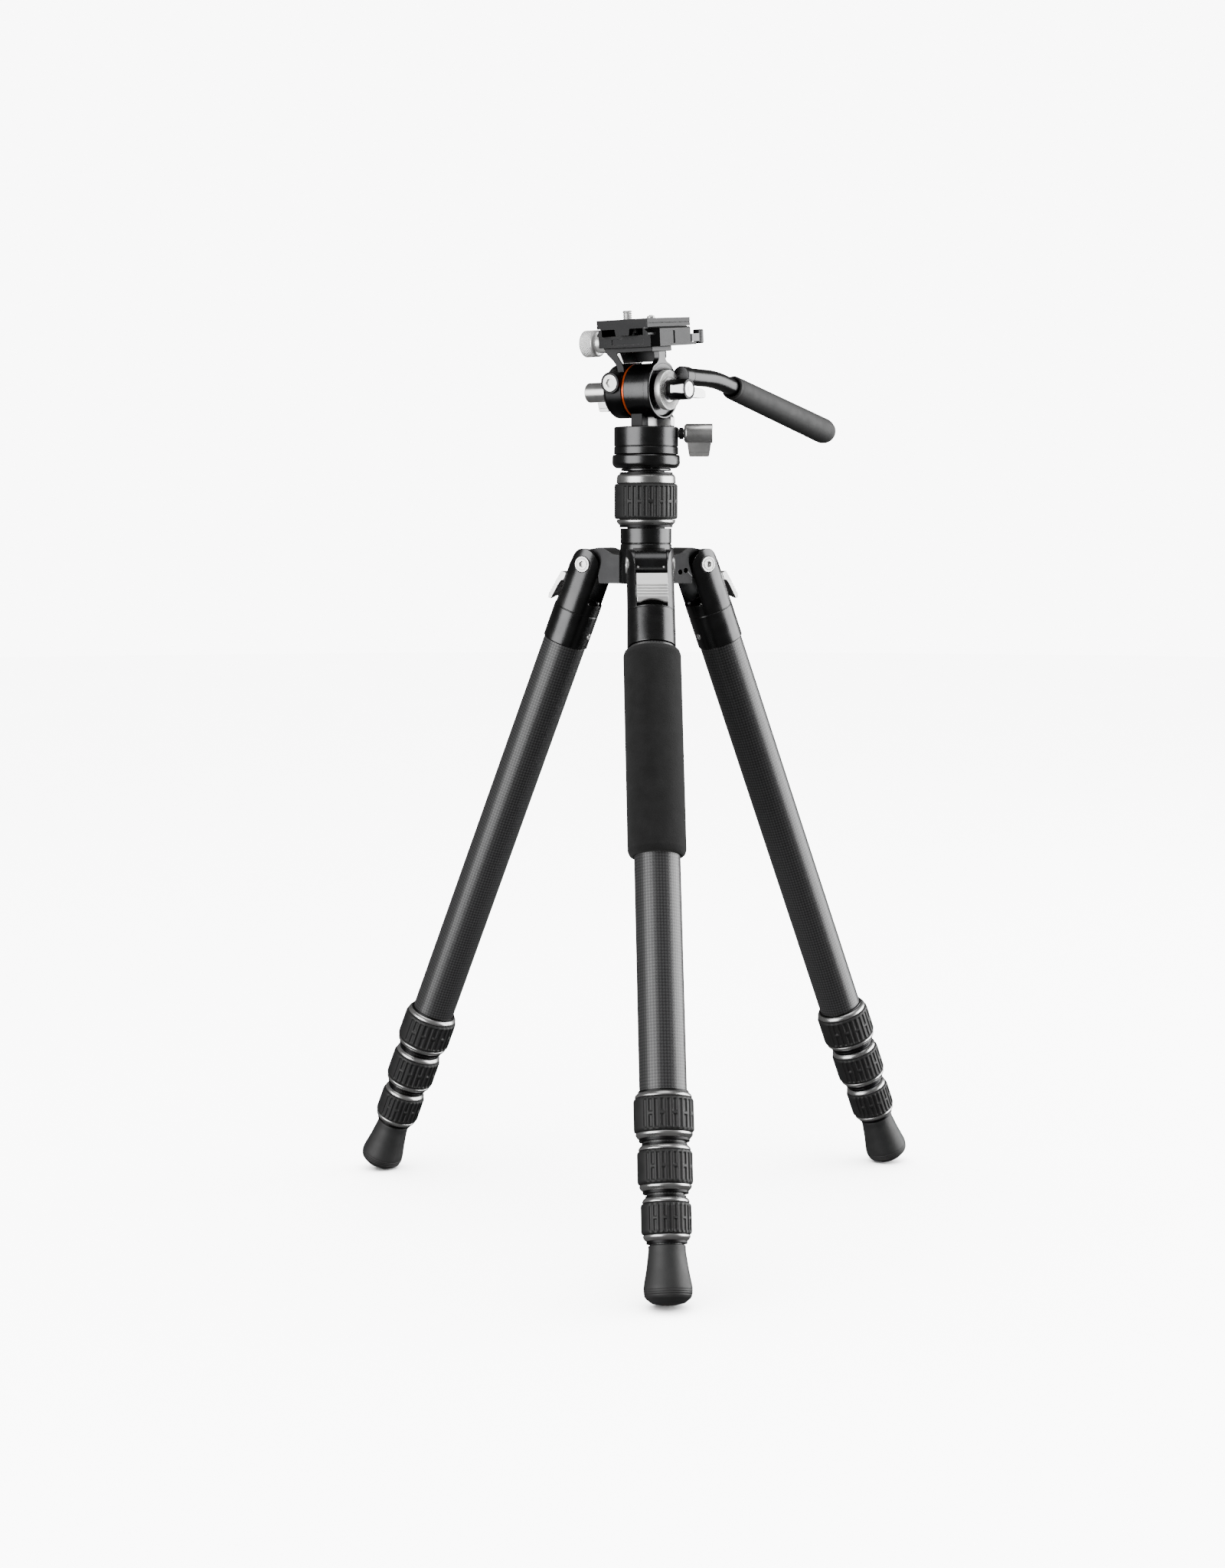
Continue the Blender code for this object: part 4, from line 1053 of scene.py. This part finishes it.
def plate():
    """A dovetail plate with two rubber strips let into its top."""
    top, slab_low, half, bed = 44.7, 39.4, 19, 34.6
    right = [(half, bed + 0.08), (half, bed + 1.2), (16.4, bed + 3.8), (16.4, slab_low + 0.3),
             (half, slab_low), (half, slab_low + 2), (half - 0.4, slab_low + 2.4), (half, slab_low + 2.8),
             (half, top)]
    left = [(-x, z) for x, z in reversed(right)]
    body = prism("plate_slab", right + left, -24.5, 25.5, PLATFORM)
    common(body, prism("plate_plan", rectangle((-20, -24.5), (20, 25.5), 2.2), 30, 50, PLATFORM, "xy"))
    tools = []
    roof = slab_low - 0.6
    for side in (-1, 1):
        groove = [(side * 15.4, 30), (side * 15.4, roof), (side * 5.6, roof), (side * 4, 30)]
        tools.append(prism("groove", groove[::side], -26, 27, PLATFORM))
    for low, high in PAD_SPANS:
        tools.append(block("pad_recess", (-16.2, low, top - 0.9), (16.2, high, top + 1), PLATFORM, 1.5))
    tools.append(rod("screw_bore", 3.5, 30, 50, at(PLATFORM, y=SCREW_Y)))
    tools.append(rod("screw_seat", 5.8, 30, 39.5, at(PLATFORM, y=SCREW_Y)))
    tools.append(rod("locating_bore", 3, 38.5, 50, at(PLATFORM, y=LOCATING_Y)))
    cut(body, *tools)
    place(soften(body, 0.2, 2), "plate", "black_satin", "quick_release_plate")
    for index, (low, high) in enumerate(PAD_SPANS):
        place(rubber_strip(f"plate_strip_{index + 1}", low + 0.2, high - 0.2, top), "plate", "pad_rubber")


def rubber_strip(name, low, high, top):
    """A rubber strip with fine ridges across it."""
    outline = [(low, top - 0.8), (high, top - 0.8)]
    count = round((high - low) / 1.1)
    for index in range(count, 0, -1):
        for share, height in ((0, -0.35), (-0.25, 0), (-0.75, 0)):
            outline.append((low + (high - low) * (index + share) / count, top + height))
    outline.append((low, top - 0.35))
    strip = prism(name, outline, -16, 16, PLATFORM, "yz")
    return common(strip, block("strip_plan", (-16, low, top - 2), (16, high, top + 1), PLATFORM, 1.4))


def camera_screw():
    where = at(PLATFORM, y=SCREW_Y)
    winding = thread(0.75, 1.27)

    def ripple(angle, radius, height):
        return winding(angle, radius, height) if 39.6 < height < 49.3 and radius >= 2 else 0.0

    profile = [(0, 50.1), (2.3, 50.1)] + [(3, height) for height in levels(49.5, 39.3, 0.16)]
    profile += [(5, 39.2), (5.3, 38.9), (5.3, 36.5), (5, 36.2), (0, 36.2)]
    screw = turned("stud", profile, where, sides=48, ripple=ripple)
    cut(screw, prism("coin_slot", rectangle((-7, -0.7), (7, 0.7)), 35, 37.4, where, "xy"))
    place(screw, "camera_screw", "steel", "camera_screw")


def locating_pin():
    profile = [(0, 47.1), (1.2, 47.1), (1.3, 46.6), (2.1, 46.6), (2.6, 46.1), (2.6, 42.1), (0, 42.1)]
    pin = solid("sprung_pin", profile, at(PLATFORM, y=LOCATING_Y), ease=0.2, sides=64)
    place(pin, "locating_pin", "steel", "locating_pin")


def tilt_knob():
    where = PLATFORM @ Matrix.Rotation(math.pi, 4, "Z")
    stem, barrel, blade = (20.3, 23.4, 4.6), (27, 43.6, 6.3), (26.6, 37.5, 12.4)
    wing_knob("tilt_knob", where, stem, barrel, blade, "tilt_lock_knob")


# ---- head: handle ----


def handle_route():
    """The bar leaves its socket level and bends down to the grip: (y, z) points of its centre line."""
    bend_start, bend_radius, steps = 38, 110, 24
    points = [(9, HANDLE_Z)]
    for step in range(steps + 1):
        angle = HANDLE_DROP * step / steps
        drop = bend_radius * (1 - math.cos(angle))
        points.append((bend_start + bend_radius * math.sin(angle), HANDLE_Z - drop))
    end_y, end_z = points[-1]
    reach = (GRIP_START + 20 - end_y) / math.cos(HANDLE_DROP)
    points.append((end_y + reach * math.cos(HANDLE_DROP), end_z - reach * math.sin(HANDLE_DROP)))
    return points


def rosette():
    """The toothed disc that sets the handle's angle, and the black socket on it."""
    teeth, low, high = 60, 8.2, 12.2
    profile = [(12.5, 17.8), (12.5, 14.1), (12.1, 13.7), (4.4, 13.7), (4.4, 17.5), (7.6, 17.5), (8.2, 18.2)]
    profile += [(radius, 18.2) for radius in levels(8.6, 11.8, 0.8)]
    disc = ring("rosette_disc", profile + [(12.2, 18.15)], HEAD, "x", 0.2, teeth * 4)
    for vertex in disc.data.vertices:
        reach = math.hypot(vertex.co.x, vertex.co.y) / MM
        if vertex.co.z / MM > 18.0 and low < reach < high:
            angle = math.atan2(vertex.co.y, vertex.co.x)
            vertex.co.z -= 0.4 * MM * abs(math.sin(teeth * angle / 2))
    place(disc, "handle", "silver", "handle_rosette")
    socket = [(0, 16.5), (5.9, 16.5), (6.1, 15), (6.1, 7.6), (0, 7.6)]
    bar_line = at(HEAD, HANDLE_X, 0, HANDLE_Z)
    holder = solid("handle_socket", socket, bar_line, "y", 0.7, 64)
    join(holder, block("socket_neck", (14.2, 4, 3), (18, 14, 12), HEAD, 1))
    cut(
        holder,
        rod("bar_bore", HANDLE_RADIUS + 0.3, 9, 24, bar_line, "y"),
        rod("knob_clearance", 7, 17.9, 34, HEAD, "x"),
    )
    place(soften(holder, 0.2, 2), "handle", "black_gloss")


def handle_bar():
    points = [(HANDLE_X, y, z) for y, z in handle_route()]
    place(bar("bent_bar", points, HANDLE_RADIUS, HEAD), "handle", "black_gloss", "handle_bar")


def handle_grip():
    """A tapered rubber sleeve with a rolled lip at the bar and a domed end."""
    end_y, end_z = handle_route()[-1]
    start_z = end_z + (end_y - GRIP_START) * math.tan(HANDLE_DROP)
    depth = (end_y - GRIP_START) / math.cos(HANDLE_DROP) + 1
    where = at(HEAD, HANDLE_X, GRIP_START, start_z) @ Matrix.Rotation(-math.pi / 2 - HANDLE_DROP, 4, "X")
    length, bore = GRIP_LENGTH, HANDLE_RADIUS + 0.3
    outer = [(0, length), (4.5, length - 0.8), (7.4, length - 3.4), (8.7, length - 8.5), (7.75, 4),
             (7.45, 2.4), (7.75, 1.6), (7.5, 0), (6.4, 0), (bore, 0.6), (bore, depth), (0, depth)]
    sleeve = squared(turned("rubber_grip", eased(outer, 1.6, steps=6), where))
    place(sleeve, "handle", "grip_rubber", "handle_grip")


def handle_knob():
    """The black clamping knob with a silver cap, a silver inlay and a silver wing."""
    profile = eased([(6.5, 32.3), (6.5, 18.6), (4.4, 18.6), (4.4, 25), (5.3, 25), (5.3, 32.3)], 0.4, True)
    place(turned("knob_barrel", profile, HEAD, "x"), "handle_knob", "black_satin", "handle_lock_knob")
    cap = [(0, 32), (2, 32.4), (4.6, 32.4), (5.2, 31.9), (5.2, 25.2), (0, 25.2)]
    place(solid("knob_cap", cap, HEAD, "x", 0.3, 64), "handle_knob", "silver")
    inlay = [(22.4, -2.6), (24.6, -2.2), (31.9, -2.9), (31.9, 3.1), (24.6, 2.4), (22.4, 2.8)]
    inlay = prism("knob_inlay", eased(inlay, 0.7, True), -6.9, -5.2, HEAD)
    place(soften(inlay, 0.3), "handle_knob", "silver")
    blade = eased([(3, -5), (3, 1.4), (17, 1), (21, -0.6), (21, -4.4), (16, -5)], 1.2, True)
    blade = prism("knob_wing", blade, 28.4, 31.4, HEAD, "yz")
    place(soften(blade, 0.4), "handle_knob", "silver")


# ---- studio ----


def studio():
    """A pale floor with a light of its own, two tall soft boxes at the sides and a weak one overhead."""
    bpy.ops.mesh.primitive_circle_add(vertices=128, radius=FLOOR_RADIUS, fill_type="NGON")
    floor = bpy.context.object
    floor.name = "floor"
    paint = new_material("pale_floor", (0.86, 0.86, 0.86), 0.7)
    tree = paint.node_tree
    link(tree, two_colours(tree, noise(tree, 2.0, 3.0), (0.85, 0.85, 0.85), (0.88, 0.88, 0.88)), "Base Color")
    floor.data.materials.append(paint)
    floor.visible_glossy = False
    floor.visible_diffuse = False
    receivers = bpy.data.collections.new("floor_only")
    receivers.objects.link(floor)
    sun = bpy.data.objects.new("floor_light", bpy.data.lights.new("floor_light", "SUN"))
    sun.data.energy = FLOOR_LIGHT
    sun.data.angle = FLOOR_LIGHT_SPREAD
    sun.light_linking.receiver_collection = receivers
    bpy.context.scene.collection.objects.link(sun)
    world = bpy.data.worlds.new("studio_air")
    world.use_nodes = True
    bpy.context.scene.world = world
    tree = world.node_tree
    seen = node(tree, "LightPath").outputs["Is Camera Ray"]
    strength = between(tree, seen, 0.0, 1.0, AMBIENT, BACKDROP)
    tree.links.new(strength, tree.nodes["Background"].inputs["Strength"])
    tree.nodes["Background"].inputs["Color"].default_value = (1.0, 1.0, 1.0, 1.0)
    centre = (CAD_LOW + CAD_HIGH) / 2
    for name, bearing, rise, distance, width, height, power in SOFT_BOXES:
        data = bpy.data.lights.new(name, "AREA")
        data.shape = "RECTANGLE"
        data.size = width
        data.size_y = height
        data.energy = power
        box = bpy.data.objects.new(name, data)
        turn, lift = math.radians(bearing), math.radians(rise)
        away = Vector((math.sin(turn) * math.cos(lift), -math.cos(turn) * math.cos(lift), math.sin(lift)))
        box.location = centre + away * distance
        box.rotation_euler = (-away).to_track_quat("-Z", "Y").to_euler()
        bpy.context.scene.collection.objects.link(box)
        box.visible_camera = False


def camera():
    data = bpy.data.cameras.new("camera")
    data.lens = LENS
    made = bpy.data.objects.new("camera", data)
    made.location = COLUMN.translation + CAMERA_OFFSET
    made.rotation_euler = (math.radians(90 - CAMERA_PITCH), 0, -math.radians(CAMERA_HEADING))
    bpy.context.scene.collection.objects.link(made)
    bpy.context.scene.camera = made


camera()
for leg_name in LEGS:
    build_leg(leg_name)
foam_grip(leg_frame("front"))
hub()
column()
hook()
pan()
for build in (drum, tilt_axle, accent_ring, carrier, flange, clamp, clamp_knob, safety_catch, plate,
              camera_screw, locating_pin, tilt_knob, rosette, handle_bar, handle_grip, handle_knob):
    build()
studio()
